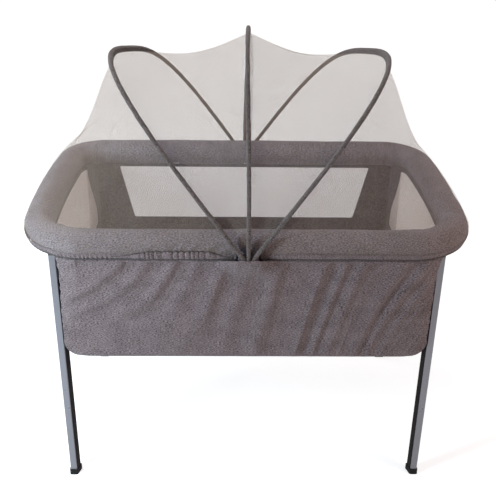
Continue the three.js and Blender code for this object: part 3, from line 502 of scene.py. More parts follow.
def rail_at(s):
    """The rail's centre line s metres from the front middle towards +X, and its outward normal."""
    s = np.asarray(s, float) % RAIL_LENGTH
    turn = np.interp(s, MARKS, TURNS)
    normal = np.stack([np.cos(turn), np.sin(turn)], -1)
    centre = np.stack([np.interp(s, MARKS, BENDS[:, k]) for k in (0, 1)], -1)
    centre = centre + np.interp(s, MARKS, RADII)[..., None] * normal
    centre[..., 0] = bowed(centre[..., 0], centre[..., 1])
    return centre, normal


def on_rail(s, angle, radius):
    """Points round the rail: angle 0 faces outwards and 90 degrees up."""
    s, angle, radius = np.broadcast_arrays(s, angle, radius)
    centre, normal = rail_at(s)
    level = centre + normal * (radius * np.cos(angle))[..., None]
    return np.concatenate([level, (RAIL_Z + radius * np.sin(angle))[..., None]], -1)


def bend_share(s):
    """1 in the rail's bends and 0 along its straights."""
    s = np.asarray(s, float) % RAIL_LENGTH
    middles = [(MARKS[k] + MARKS[k + 1]) / 2 for k in (1, 3, 5, 7)]
    return sum(ease(1.3 - np.abs(s - m) / (0.75 * FRONT_ARC)) for m in middles)


DENT = 0.0013  # the cover's dents, and the creases in its bends
PULL, PULL_PITCH, PULL_AT, PULL_HALF = 0.0042, 0.034, -0.12, 0.10  # slanting folds in front
GATHER, GATHER_PITCH = 0.0006, 0.009  # of the cloth under the rail
SEAM, SEAM_HALF = 0.0014, 0.0022  # across the cover at the hubs


def make_rail_cover():
    stations, corners = 700, 48
    s = np.linspace(0, RAIL_LENGTH, stations, endpoint=False)[:, None]
    a = np.linspace(-0.5, 1.5, corners, endpoint=False)[None] * pi
    girth = a * PAD_R
    inner = ease(-np.cos(a) * 1.4)
    under = ease(-np.sin(a) * 1.5 - 0.3)
    radius = PAD_R + DENT * rumple(s, girth, 0.055, 0.022, 1, RAIL_LENGTH)
    along = (s + RAIL_LENGTH / 2) % RAIL_LENGTH - RAIL_LENGTH / 2
    pulled = np.exp(-((along - PULL_AT) / PULL_HALF) ** 2) * ease(1.2 - np.abs(a + 0.25))
    wave = np.sin(2 * pi * (along - 1.3 * girth) / PULL_PITCH + 3 * ripple(along, 0.05, 4))
    radius = radius - PULL * pulled * (0.5 + 0.5 * wave) ** 1.6
    creases = rumple(s, girth, 0.010, 0.03, 2, RAIL_LENGTH)
    radius = radius + DENT * inner * bend_share(s) * creases
    radius = radius + GATHER * under * ripple(s, GATHER_PITCH, 3, RAIL_LENGTH)
    for seam in (0, RAIL_LENGTH / 2):
        radius = radius - SEAM * np.exp(-((np.abs(along) - seam) / SEAM_HALF) ** 2)
    cover = sweep("rail_cover", on_rail(s, a, radius), pairs(s, girth), True)
    finished(cover, COVER,
             replaces=["rail_pad_front", "rail_pad_rear", "rail_pad_left", "rail_pad_right"])


# ---- hoops ----

HOOP_Y = RAIL_Y + PAD_R + 0.010  # pivots to the basket's middle, at the band's centre
HOOP_POWER = 2 / 3.4  # squareness of the arch
HOOP_SKEW = 0.2  # rise gained at the front, lost at the rear
SIDE_HEIGHT, CENTRE_HEIGHT = 0.415, 0.380
SPREAD = radians(35.3)  # lean of the side hoops
TWIST = 0.008  # the centre hoop's top, out of its plane
BAND_HALF = 0.007  # of the sleeve's width
SLEEVE_HALF = 0.0042  # half thickness over the wire
FLANGE_HALF = 0.0012  # and at the stitched edge
END_HALF = 0.0038  # round the pivot
HEAD = 0.003  # the ends stand out this far over the pins' heads
END_LENGTH = 0.016  # of the thicker ends
HOOP_STEP = 0.0028  # between the sleeve's rings
HOOP_STITCH = (0.0048, 0.0033, 0.00040)  # pitch, length and radius of the stitches
STITCH_IN = 0.0030  # inwards from the band's middle


class Hoop:
    """Half a superellipse over the basket from pivot to pivot, in a leaning plane."""

    def __init__(self, pivot, lean, height, twist=0.0):
        a = np.linspace(0, pi, 6001)
        share = -np.sign(np.cos(a)) * np.abs(np.cos(a)) ** HOOP_POWER
        rise = height * np.maximum(np.sin(a), 0) ** HOOP_POWER * (1 - HOOP_SKEW * share)
        self.path = np.stack([HOOP_Y * share, rise, twist * share * (rise / height) ** 2], 1)
        along = run_of(self.path)
        self.length = along[-1]
        self.share = along / along[-1]
        self.tangent = unit(np.gradient(self.path, along, axis=0))
        self.pivot, self.lean = pivot, lean

    def at(self, u, out=0.0, side=0.0, drop=0.0):
        """Point at share u, `out` along the band's own normal, `side` across its plane."""
        u, out, side, drop = np.broadcast_arrays(u, out, side, drop)
        across, rise, off = (np.interp(u, self.share, self.path[:, k]) for k in (0, 1, 2))
        along, up = (np.interp(u, self.share, self.tangent[:, k]) for k in (0, 1))
        y = across - up * out
        rise = rise + along * out - drop
        x = self.pivot + off + rise * sin(self.lean) + side * cos(self.lean)
        z = PIVOT_Z + rise * cos(self.lean) - side * sin(self.lean)
        return np.stack([x, y, z], -1)


HOOPS = {"left": Hoop(-PIVOT_X, -SPREAD, SIDE_HEIGHT), "centre": Hoop(0, 0, CENTRE_HEIGHT, TWIST),
         "right": Hoop(PIVOT_X, SPREAD, SIDE_HEIGHT)}


def band_half(c, wide):
    """Half thickness of the sleeve; c is -1 at its inner edge and 1 at its outer one."""
    half = FLANGE_HALF + (SLEEVE_HALF - FLANGE_HALF) * ease((c + 0.55) / 0.5)
    return half * (1 - wide) + END_HALF * wide


def make_hoop(name, hoop, seed):
    corners, caps = 20, 6
    u = np.linspace(0, 1, round(hoop.length / HOOP_STEP))
    cap = np.radians(np.linspace(82, 0, caps, endpoint=False))
    u = np.r_[np.zeros(caps), u, np.ones(caps)][:, None]
    turn = np.r_[cap, np.zeros(len(u) - 2 * caps), cap[::-1]][:, None]
    a = ring_angles(corners)[None]
    along = u * hoop.length
    wide = ease(1.25 - np.minimum(along, hoop.length - along) / END_LENGTH)
    out = np.cos(a) * BAND_HALF + (np.cos(a) > 0) * np.cos(a) * HEAD * wide
    out = out + 0.00025 * ripple(along, 0.014, seed) * (1 - wide)
    pucker = 1 + 0.10 * rumple(along, a, 0.008, 1.2, seed + 1) * (1 - wide)
    side = np.sign(np.sin(a)) * np.abs(np.sin(a)) ** 0.6 * band_half(np.cos(a), wide) * pucker
    rings = hoop.at(u, out, side * np.cos(turn), END_HALF * np.sin(turn))
    sleeve = sweep(f"hoop_{name}_sleeve", rings, pairs(along, a * 0.005))
    body = "frame" if name == "centre" else f"hoop_{name}"
    finished(sleeve, SLEEVE, body, [f"hoop_{name}"])
    run = np.linspace(0.02, 0.98, 500)
    rows = [(hoop.at(run, -STITCH_IN, way * (FLANGE_HALF + 0.0004)),
             (way * cos(hoop.lean), 0, -way * sin(hoop.lean))) for way in (-1, 1)]
    finished(stitches(f"hoop_{name}_stitches", rows, *HOOP_STITCH), THREAD, body)


def make_hub_tab(way):
    """Cloth tab over the pivots' plate; way is -1 in front and 1 at the rear."""
    columns, rows = 36, 24
    half_x, half_z, round_by = 0.0205, 0.0115, 0.005
    u, v = np.meshgrid(np.linspace(-1, 1, columns), np.linspace(-1, 1, rows), indexing="ij")
    x, z = u * half_x, v * half_z
    spare = np.maximum(np.abs(z) - (half_z - round_by), 0)
    x = x * (1 - (round_by - np.sqrt(round_by ** 2 - spare ** 2)) / half_x)
    edge = ease((1 - np.maximum(np.abs(u), np.abs(v))) / 0.25)
    y = HUB_FACE + 0.0007 - 0.0003 * edge + 0.00012 * rumple(x + 1, z + 1, 0.006, 0.006, 5)
    points = np.stack([x, way * y, z + PIVOT_Z - 0.0015], -1)
    tab = sheet_from(f"hub_tab_{'front' if way < 0 else 'rear'}", points, pairs(x, z), 0.0008)
    finished(tab, COVER)


# ---- the net canopy ----

NET_START = 0.024  # the nets stop this far from the hub along the rail
NET_ON_HOOP = 0.022  # and at this share of the hoops
NET_WAY = RAIL_LENGTH / 2 - 2 * NET_START
NET_EDGE = BAND_HALF - 0.0006  # under the sleeve's inner edge
NET_SIDE = 0.0008  # out of the hoop's plane
NET_R = PAD_R + 0.0020
HEM_ANGLE, RUFFLE_TOP, BUNCH_TOP = (radians(a) for a in (-36, -12, 6))  # round the rail
WRAP_UNDER = 0.12  # radians of net under the ruffle
SAG_END, SAG_TOP = 0.026, 0.036
NET_FOLD = 0.0022
SPAN_ROWS, WRAP_ROWS = 36, 8


def on_hoop(share):
    return NET_ON_HOOP + (1 - 2 * NET_ON_HOOP) * share


def strands(share, start, end, size, seed):
    """Straight strands from start to end, the share along each, and their soft folds."""
    v = np.linspace(0, 1, SPAN_ROWS)[None] + 0 * share[:, None]
    fold = NET_FOLD * rumple(share[:, None] * NET_WAY, v, size, 0.7, seed)
    return start[:, None] + (end - start)[:, None] * v[..., None], v, fold


def end_strands(share, seed):
    """From the side hoop down to the rail's cover and round it."""
    top = HOOPS["right"].at(on_hoop(share), -NET_EDGE, NET_SIDE)
    s = NET_START + NET_WAY * share
    centre, normal = rail_at(s)
    inward = np.sum((top[:, :2] - centre) * normal, 1)
    above = top[:, 2] - RAIL_Z
    reach = np.maximum(np.hypot(inward, above), NET_R)
    leave = np.maximum(np.arctan2(above, inward) - np.arccos(NET_R / reach), HEM_ANGLE / 2)
    touch = on_rail(s, leave, NET_R)
    span = np.linalg.norm(top - touch, axis=1)
    sag = SAG_END * np.minimum(1, span / SIDE_HEIGHT) ** 2
    points, v, fold = strands(share, top, touch, 0.045, seed)
    droop = sag[:, None] * np.sin(pi * v) ** 2 + fold * np.sin(pi * v)
    points[..., :2] -= normal[:, None] * droop[..., None]
    weight = np.concatenate([1 - v, np.zeros((len(share), WRAP_ROWS))], 1)
    w = np.linspace(0, 1, WRAP_ROWS + 1)[None, 1:]
    angle = leave[:, None] + (RUFFLE_TOP - WRAP_UNDER - leave[:, None]) * w
    return np.concatenate([points, on_rail(s[:, None], angle, NET_R)], 1), weight


def top_strands(share, seed):
    """From the side hoop across to the centre one."""
    u = on_hoop(share)
    start = HOOPS["right"].at(u, -NET_EDGE, -NET_SIDE)
    end = HOOPS["centre"].at(u, -NET_EDGE, NET_SIDE)
    sag = SAG_TOP * np.linalg.norm(end - start, axis=1) / CENTRE_HEIGHT
    points, v, fold = strands(share, start, end, 0.05, seed)
    down = unit(points * (0, 0.6, 0) + (0, 0, PIVOT_Z) - points)
    return points + down * ((sag[:, None] + fold) * np.sin(pi * v))[..., None], 1 - v


def net_piece(name, side, sign, points, weight, flat, area, rests):
    down = np.array([run_of(strand) for strand in points])
    uv = pairs(np.linspace(0, NET_WAY, len(points))[:, None], down)
    net = sheet_from(name, points * (sign, 1, 1), uv)
    finished(net, NET, None, [name])
    start = HOOPS[side].at(0.5)
    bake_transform(net)
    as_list(rests)


def make_nets(side, sign, seed):
    share = np.linspace(0, 1, 230)
    net_piece(f"net_end_{side}", side, sign, *end_strands(share, seed), (1.30, 0.48), 0.42,
              ["rail_cover", f"hoop_{side}_sleeve"])
    net_piece(f"net_top_{side}", side, sign, *top_strands(share, seed + 1), (1.20, 0.30), 0.24,
              [f"hoop_{side}_sleeve", "hoop_centre_sleeve"])


def gathers(s, seed):
    """Depth of the gathers of the net's hem, 0 to 1, along the rail."""
    phase = 2 * pi * s / 0.0085 + 3.5 * ripple(s, 0.04, seed)
    return (0.5 + 0.5 * np.cos(phase)) * (0.7 + 0.3 * ripple(s, 0.018, seed + 1))


RUFFLE_FLAT, BUNCH_FLAT = (1.6, 0.0145), (0.31, 0.0155)
RUFFLE_DEPTH = 0.0024
ELASTIC_R, ELASTIC_LIFT = 0.0021, 0.0016


def gathered_cloth(name, points, uv):
    cloth = finished(sheet_from(name, points, uv), SKIRT)


def make_ruffle(side, sign, seed):
    """The gathered edge of the net, and the elastic that holds it on the rail's cover."""
    columns, rows = 1150, 16
    s = np.linspace(NET_START, RAIL_LENGTH / 2 - NET_START, columns)[:, None]
    v = np.linspace(0, 1, rows)[None]
    in_front = ease((MARKS[2] - s) / 0.15)
    strength = (0.55 + 0.45 * in_front) if side == "left" else 0.5 + 0 * s
    gathered, waver = gathers(s, seed), 0.03 * ripple(s, 0.03, seed + 2)
    depth = RUFFLE_DEPTH * strength * gathered * ease(v * 1.3)
    depth = depth * (1 - 0.55 * ease((v - 0.85) / 0.15))
    angle = RUFFLE_TOP + (HEM_ANGLE - RUFFLE_TOP) * v + waver * v
    points = on_rail(s, angle, NET_R + 0.0003 + depth) * (sign, 1, 1)
    gathered_cloth(f"net_ruffle_{side}", points, pairs(s * 1.5, v * RUFFLE_FLAT[1]))
    lift = ELASTIC_LIFT * strength * gathered
    path = on_rail(s, HEM_ANGLE - 0.04 + waver, NET_R + 0.0004 + lift)[::2, 0] * (sign, 1, 1)
    elastic = tube_along(f"net_elastic_{side}", path, ELASTIC_R, 10, flat=0.75)
    # the elastic's dark colour is partly painted shade along the hem
    finished(elastic, HEM_WITH_PAINTED_SHADE, replaces=[f"net_hem_{side}"])


def make_bunch():
    """Where the net's hem is bunched up in several layers, left of the hoops."""
    start, end = 0.035, 0.27  # along the rail from the front middle
    s = np.linspace(start, end, 520)[:, None]
    v = np.linspace(0, 1, 14)[None]
    phase = 2 * pi * s / 0.0125 + 5 * ripple(s, 0.03, 91)
    pleat = np.abs(np.cos(phase / 2)) ** 0.6
    ends = ease((s - start) / 0.05) * ease((end - s) / 0.09)
    top = HEM_ANGLE + (BUNCH_TOP - HEM_ANGLE) * (0.25 + 0.60 * ends * (0.7 + 0.3 * pleat))
    angle = top + (HEM_ANGLE + 0.06 - top) * v
    depth = (0.0010 + 0.0030 * pleat * ends) * np.sin(pi * (0.08 + 0.84 * v)) ** 0.5
    depth = depth + 0.0006 * ends * rumple(s + 0.3 * v, 0.02 * v, 0.004, 0.008, 92)
    left = (-1, 1, 1)
    gathered_cloth("net_hem_bunch", on_rail(s, angle, NET_R + 0.0006 + depth) * left,
                   pairs(s * 1.2, v * 0.016))
    path = on_rail(s, top + 0.02, NET_R + 0.0007)[:, 0] * left
    # thin fold along the bunch's top edge, dark with painted shade
    finished(tube_along("net_hem_fold", path, 0.0009, 8), HEM_WITH_PAINTED_SHADE)


# ---- the fabric basket ----

WALL = 0.0024  # thickness of the cloth
END_ROUND_X, END_ROUND_Z = 0.057, 0.040  # rounded lower ends
SIDE_ROUND = 0.015  # and lower front and rear edges
PLAN_CORNER = 0.0065
FLARE_TOP = PAD_BOTTOM - 0.0003
FLARE_HEIGHT = 0.123
RIM_INSET = PAD_R * sin(radians(50))  # rail's centre line to the ends' rim
RIM_SINK = 0.0006  # the rim reaches this far into the rail's cover
FLARE_FROM, FLARE_TO = 0.217, 0.231  # y where the ends flare out fully, and not at all
PANEL_ROOM = 0.0027  # the front panel's, outside the shell
SHELL_DENT = 0.0016
SHELL_X, SHELL_Y = TUB_X - WALL / 2, TUB_Y - PANEL_ROOM - WALL / 2  # middle of the cloth
RAIL_LINE = rail_at(np.linspace(0, RAIL_LENGTH, 3000, endpoint=False))[0]


def rim_end_x(y):
    s = np.linspace(MARKS[1] + 0.4 * FRONT_ARC, MARKS[4] - 0.3 * REAR_ARC, 300)
    centre, normal = rail_at(s)
    rim = centre - RIM_INSET * normal
    return np.interp(y, rim[:, 1], rim[:, 0])


def flare_at(z):
    return ease((z - (FLARE_TOP - FLARE_HEIGHT)) / FLARE_HEIGHT)


def end_wall_x(y, z):
    """Middle of an end wall's thickness above the rounded edge."""
    share = ease((FLARE_TO - np.abs(y)) / (FLARE_TO - FLARE_FROM))
    return SHELL_X + (rim_end_x(np.clip(y, -FLARE_FROM, FLARE_FROM)) - TUB_X) * flare_at(z) * share


def round_loss(z, reach, height):
    """How far a rounded lower edge draws the wall in at height z."""
    up = np.clip((TUB_BOTTOM + height - z) / height, 0, 1)
    return reach * (1 - np.sqrt(1 - up ** 2))


def pad_underside(x, y):
    away = np.hypot(x[:, None] - RAIL_LINE[:, 0], y[:, None] - RAIL_LINE[:, 1]).min(1)
    return RAIL_Z - np.sqrt(np.maximum(PAD_R ** 2 - away ** 2, 0))


def shell_ring(z, top):
    """The middle of the basket's cloth at height z or at its top."""
    half_x_loss = round_loss(z, END_ROUND_X, END_ROUND_Z)
    half_y = SHELL_Y - round_loss(z, SIDE_ROUND, SIDE_ROUND)
    half_x = SHELL_X - half_x_loss
    x = list(np.linspace(0, half_x - PLAN_CORNER, 44, endpoint=False))
    y = [half_y] * len(x)
    for a in np.radians(np.linspace(90, 0, 7)):
        x.append(half_x - PLAN_CORNER + PLAN_CORNER * cos(a))
        y.append(half_y - PLAN_CORNER + PLAN_CORNER * sin(a))
    ends = np.linspace(half_y - PLAN_CORNER, PLAN_CORNER - half_y, 79)[1:-1]
    corner = np.array([x, y]).T
    wall = np.column_stack([end_wall_x(ends, z) - half_x_loss, ends])
    right = np.concatenate([corner, wall, (corner * (1, -1))[::-1]])
    ring = np.concatenate([right, (right * (-1, 1))[-2:0:-1]])
    level = pad_underside(*ring.T) + RIM_SINK if top else np.full(len(ring), z)
    return np.column_stack([ring, level])


WINDOW_ROUND = 0.008
ROUND_STEPS, SIDE_STEPS = 8, 26


def window_outline(half_top, half_bottom, top, grow=0.0):
    """Rounded trapezoid of a window, [across, height], anticlockwise; `grow` widens it."""
    low, high = WINDOW_LOW - grow, top + grow
    lean = (half_top - half_bottom) / (top - WINDOW_LOW)
    at = lambda z: half_bottom + lean * (z - WINDOW_LOW) + grow
    corners = np.array([(-at(low), low), (at(low), low), (at(high), high), (-at(high), high)])
    points = []
    for i in range(4):
        before, here, after = corners[i - 1], corners[i], corners[(i + 1) % 4]
        a, b = (unit(np.array(p) - here) for p in (before, after))
        start, end = here + a * WINDOW_ROUND, here + b * WINDOW_ROUND
        for t in np.linspace(0, 1, ROUND_STEPS):
            points.append((1 - t) ** 2 * start + 2 * t * (1 - t) * here + t ** 2 * end)
        following = after + unit(here - after) * WINDOW_ROUND
        for t in np.linspace(0, 1, SIDE_STEPS)[1:-1]:
            points.append(end * (1 - t) + following * t)
    return np.array(points)


back_low, back_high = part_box("window_mesh_back")
side_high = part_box("window_mesh_right")[1]
MESH_GAP = 0.0003  # round the solids' windows
WINDOW_LOW = back_low.z - MESH_GAP
# half widths at the top and the bottom, and the height of the top
BACK_WINDOW = (TUB_X - 0.058, TUB_X - 0.091, back_high.z + MESH_GAP)
END_WINDOW = (TUB_Y - 0.038, TUB_Y - 0.042, side_high.z + MESH_GAP)


CUT_X = 0.39  # middle of the end windows' cutters
# a window's shape, its side (0 is the rear), and the middle and half depth of its cutter
WINDOWS = {"back": (BACK_WINDOW, 0, SHELL_Y, 0.02), "left": (END_WINDOW, -1, CUT_X, 0.05),
           "right": (END_WINDOW, 1, CUT_X, 0.05)}


def on_wall(outline, way, out):
    """An outline's points, `out` metres to the rear or to the left or right end."""
    across, z = outline[..., 0], outline[..., 1]
    out = out + 0 * z
    return np.stack([way * out, across, z] if way else [across, out, z], -1)


def make_shell():
    """The basket's cloth, one seamless bag with three windows cut out."""
    low = TUB_BOTTOM + WALL / 2
    curve = [low + (END_ROUND_Z - WALL / 2) * (1 - cos(a))
             for a in np.radians(np.linspace(0, 90, 14))]
    levels = curve + list(np.linspace(curve[-1], FLARE_TOP, 34)[1:])
    rings = np.array([shell_ring(z, z == levels[-1]) for z in levels])
    around = np.arange(rings.shape[1])
    z = rings[..., 2]
    # soft dents below the windows; none beside the legs or at the rim
    calm = ease((z - TUB_BOTTOM - 0.004) / 0.02) * ease((WINDOW_LOW - 0.012 - z) / 0.02)
    beside = TUB_X - 0.006 - np.abs(rings[..., 0])
    calm = calm * ease(beside / 0.02 + (np.abs(rings[..., 1]) < 0.22))
    dent = rumple(around[None] + 0 * z, z, 9, 0.035, 21, rings.shape[1]) * SHELL_DENT * calm
    outwards = unit(rings[..., :2] - np.clip(rings[..., :2], (-0.3, -0.2), (0.3, 0.2)))
    rings[..., :2] -= outwards * np.abs(dent)[..., None]
    open_top = tube_faces(*rings.shape[:2])[:-1]
    shell = solidify(face_outwards(mesh_object("basket_shell", rings, open_top)), WALL)
    cutters = []
    for name, (shape, way, middle, depth) in WINDOWS.items():
        outline = window_outline(*shape)
        cutters.append(sweep(f"cut_{name}", np.array(
            [on_wall(outline, way, middle + d) for d in (-depth, depth)])))
        modifier = shell.modifiers.new(name, "BOOLEAN")
        modifier.operation, modifier.solver, modifier.object = "DIFFERENCE", "EXACT", cutters[-1]
    applied(shell)
    for cutter in cutters:
        bpy.data.objects.remove(cutter)
    shell.data.shade_smooth()
    shell.data.set_sharp_from_angle(angle=radians(50))
    finished(shell, SHELL, replaces=["basket_tub"])


WINDOW_SEAM = 0.003  # the nets reach this far past their windows
WINDOW_STITCH = (0.0042, 0.0029, 0.00036)
BINDING_R, BINDING_FLAT = 0.0019, 1.75  # and its width by its thickness
BINDING_OUT, STITCHES_OUT = 0.0015, 0.0062  # from the window's edge


def make_window(name, seed):
    shape, way = WINDOWS[name][:2]
    half_top, half_bottom, top = shape
    out = np.array((way, 0 if way else 1, 0))
    on_this = lambda line: on_wall(line, way, end_wall_x(*line.T).T if way else SHELL_Y)
    height = top - WINDOW_LOW + 2 * WINDOW_SEAM
    u, v = np.meshgrid(np.linspace(-1, 1, 90), np.linspace(0, 1, 30), indexing="ij")
    z = WINDOW_LOW - WINDOW_SEAM + height * v
    flat = pairs(u * (half_bottom + WINDOW_SEAM + (half_top - half_bottom) * v), z)
    loose = 0.0012 * (1 - u ** 2) * np.sin(pi * v)
    sunk = loose * rumple(flat[..., 0] + 1, z, 0.16, 0.09, seed)
    net = sheet_from(f"window_net_{name}", on_this(flat) - out * sunk[..., None], flat)
    finished(net, WINDOW if name == "back" else END_WINDOW_NET,
             replaces=[f"window_mesh_{name}"])
    rim, line = (on_this(np.r_[outline, outline[:1]]) for outline in (
        window_outline(*shape, BINDING_OUT), window_outline(*shape, STITCHES_OUT)))
    binding = tube_along(f"window_binding_{name}", resampled(rim, 0.004)[:-1], BINDING_R, 12, out,
                         True, BINDING_FLAT)
    finished(binding, SHELL)
    rows = [(line + k * (WALL / 2 + 0.0001) * out, k * out) for k in (-1, 1)]
    finished(stitches(f"window_stitches_{name}", rows, *WINDOW_STITCH), THREAD)


PANEL_Y = TUB_Y + 0.0002  # middle of the front panel's thickness
PANEL_CLOTH = 0.0014
SEAM_ANGLE = radians(-50)  # where the panel is sewn to the rail's cover
SEAM_R = PAD_R + 0.0014
SEAM_Z = RAIL_Z + SEAM_R * sin(SEAM_ANGLE)
POCKET_Y, POCKET_Z = 0.3150, PIVOT_Z + 0.0052  # the panel's edge where it covers the hoops' ends
POCKET_HALF, POCKET_FADE = 0.018, 0.045
PANEL_STITCH, STITCH_DROP = (0.0044, 0.0030, 0.00045), 0.0075
# depths below the seam, and how far the left and right edges stand out there
EDGE_SPREAD = {-1: ([0, 0.034, 0.07, 0.13, 0.20], [0.0045, 0.0002, 0.0006, 0.0045, 0.0062]),
               1: ([0, 0.03, 0.065, 0.20], [0.0125, 0.0055, 0.0034, 0.0047])}


def panel_edge(z, side):
    """Half length of the front panel at height z; near the rail it spreads over the legs."""
    spread = np.interp(SEAM_Z - z, *EDGE_SPREAD[side])
    return TUB_X + spread - round_loss(z, END_ROUND_X, END_ROUND_Z)


def seam_line(x):
    """How far the panel's upper edge stands out, and the pocket's share."""
    s = np.linspace(-MARKS[1] - 0.9 * FRONT_ARC, MARKS[1] + 0.9 * FRONT_ARC, 700)
    line = on_rail(s, SEAM_ANGLE, SEAM_R)
    pocket = ease(1 - (np.abs(x) - POCKET_HALF) / POCKET_FADE)
    return np.maximum(np.interp(x, line[:, 0], -line[:, 1]) - PANEL_Y, 0), pocket


FOLD_SLOPES = ([-0.38, -0.30, -0.2, -0.08, 0.05, 0.2, 0.30, 0.38],  # at these x
               [1.25, 0.95, 0.55, 0.28, 0.18, 0.28, 0.60, 0.95])
FOLD, FOLD_PITCH = 0.0092, 0.058
BROAD_FOLD, CREASE, PUCKER = 0.0030, 0.0036, 0.0012


def skirt_folds(x, down):
    """How far the front panel's slanting folds stand out, in metres."""
    share = down / (SEAM_Z - TUB_BOTTOM)
    t = x + np.interp(x, *FOLD_SLOPES) * down
    left = ease(0.1 - x / 0.16)
    fade = 1 - left * (0.1 + 0.7 * ease((share - 0.35) / 0.35))
    wave = 0.5 + 0.5 * np.sin(2 * pi * t / FOLD_PITCH + 3.2 * ripple(t, 0.08, 37))
    fade = fade * (1 - 0.45 * ease((x - 0.08) / 0.2) * ease((share - 0.3) / 0.5))
    soft = (wave ** 1.5 - 0.4) * FOLD * (0.72 + 0.28 * ripple(t, 0.05, 36)) * fade
    broad = ripple(t, 0.060, 32) * BROAD_FOLD
    crease = (1 - np.abs(ripple(t, 0.060, 33))) ** 6 * CREASE
    crease = crease * ease((x - 0.04) / 0.08) * ease(share / 0.2)
    pucker = ripple(x + 0.3 * down, 0.010, 34) * PUCKER * np.exp(-down / 0.022)
    return (soft + broad + crease) * ease((1 - share) / 0.10) + pucker


def panel_point(x, z):
    """y and z of the front panel at x, z being its height without the pocket."""
    down = SEAM_Z - z
    bulge, pocket = seam_line(x)
    up = np.clip((z - TUB_BOTTOM - 0.03) / (SEAM_Z - TUB_BOTTOM - 0.03), 0, 1)
    near = ease(1 - down / 0.055) * pocket
    half = np.where(x < 0, panel_edge(z, -1), panel_edge(z, 1))
    free = ease((half - np.abs(x)) / 0.03)
    rise = ease(down / 0.010)
    fold = np.maximum(skirt_folds(x, down), -0.004) * free * (0.25 + 0.75 * rise) * (1 - 0.8 * near)
    y = PANEL_Y + bulge * up + (POCKET_Y - PANEL_Y - bulge) * near + fold + 0.0028
    groove = 0.0010 * np.exp(-((down - STITCH_DROP) / 0.0014) ** 2)
    return -(y - groove), z + (POCKET_Z - SEAM_Z) * near


def panel_line(start, end, drop, off):
    """A line along the front panel, `drop` below its upper seam and moved by `off`."""
    x = np.linspace(start, end, 500)
    y, z = panel_point(x, np.full(500, SEAM_Z - drop))
    return np.stack([x, y, z], 1) + off


def make_front_panel():
    columns = 420
    heights = list(np.linspace(SEAM_Z, TUB_BOTTOM + SIDE_ROUND, 110))
    turns = np.radians(np.linspace(0, 84, 10))[1:]
    z = np.array(heights + [TUB_BOTTOM + SIDE_ROUND * (1 - sin(a)) for a in turns])[None]
    tuck = np.array([0.0] * len(heights) + [SIDE_ROUND * (1 - cos(a)) for a in turns])[None]
    u = np.linspace(0, 1, columns)[:, None]
    left, right = -panel_edge(z, -1), panel_edge(z, 1)
    inside = np.minimum(u, 1 - u) * (right - left)
    edge = ease(1 - inside / 0.022)
    x = left + u * (right - left) + 0.0012 * ripple(z, 0.009, 41) * edge * np.where(u < 0.5, 1, -1)
    y, height = panel_point(x, z)
    flat = ease(tuck / SIDE_ROUND * 1.2)
    y = y * (1 - flat) - PANEL_Y * flat + tuck
    y = y + edge * (0.0022 * (1 - flat) + 0.0011 * ripple(z + 0.2 * inside, 0.008, 42))
    panel = sheet_from("front_panel", np.stack(np.broadcast_arrays(x, y, height), -1), pairs(x, z),
                       PANEL_CLOTH)
    finished(panel, SKIRT)
    seam = panel_line(1e-3 - TUB_X, TUB_X - 1e-3, STITCH_DROP, (0, -PANEL_CLOTH / 2, 0))
    finished(stitches("front_panel_stitches", [(seam, (0, -1, 0))], *PANEL_STITCH), THREAD)
    edge = panel_line(-panel_edge(SEAM_Z, -1), panel_edge(SEAM_Z, 1), 0, (0, -0.0009, -0.0022))
    finished(tube_along("front_panel_edge", edge, 0.0018, 10), SKIRT)


# ---- mattress ----

mat_low, mat_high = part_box("mattress")
MAT_INSET = 0.003  # the slab is this much smaller before it is blown up
MAT_CORNER = 0.03
VOXEL, PRESSURE, PRESSURE_FRAMES, MOST_PUFF = 0.008, 3.0, 12, 0.004
CHANNEL_PITCH, CHANNEL_HALF = 0.1, 0.007  # sewn channels, slanting both ways
CHANNEL_TOP, CHANNEL_BELOW = 0.004, 0.001  # and their depths


def points_of(obj):
    points = np.empty(len(obj.data.vertices) * 3)
    obj.data.vertices.foreach_get("co", points)
    return points.reshape(-1, 3)


def make_mattress():
    """Quilted pad: a slab blown up by a cloth simulation, then sewn down in channels."""
    half = (Vector(mat_high) - Vector(mat_low)) / 2
    centre = (Vector(mat_high) + Vector(mat_low)) / 2
    flat_x, flat_y = half.x - MAT_INSET - MAT_CORNER, half.y - MAT_INSET - MAT_CORNER
    rings = []
    for k in np.radians(np.linspace(-90, 90, 9)):
        round_by = MAT_CORNER - (half.z - MAT_INSET) * (1 - cos(k)) * 0.6
        z = centre.z + (half.z - MAT_INSET) * sin(k)
        rings.append([(centre.x + sx * flat_x + round_by * cos(a),
                       centre.y + sy * flat_y + round_by * sin(a), z)
                      for quarter, (sx, sy) in enumerate(((1, 1), (-1, 1), (-1, -1), (1, -1)))
                      for a in np.radians(np.linspace(0, 90, 7) + 90 * quarter)])
    pad = sweep("mattress_pad", np.array(rings))
    inflate(pad)
    points = points_of(pad)
    x, y, z = points.T
    near = np.minimum(*(np.abs((t + CHANNEL_PITCH / 2) % CHANNEL_PITCH - CHANNEL_PITCH / 2)
                        for t in (x + y, x - y)))
    depth = np.where(z > centre.z, CHANNEL_TOP, -CHANNEL_BELOW)
    depth = depth * np.exp(-(near / CHANNEL_HALF) ** 2)
    points[:, 2] = np.clip(z - depth, mat_low.z, mat_high.z + MOST_PUFF)
    pad.data.vertices.foreach_set("co", points.ravel())
    pad.data.shade_smooth()
    finished(pad, QUILT, replaces=["mattress"])


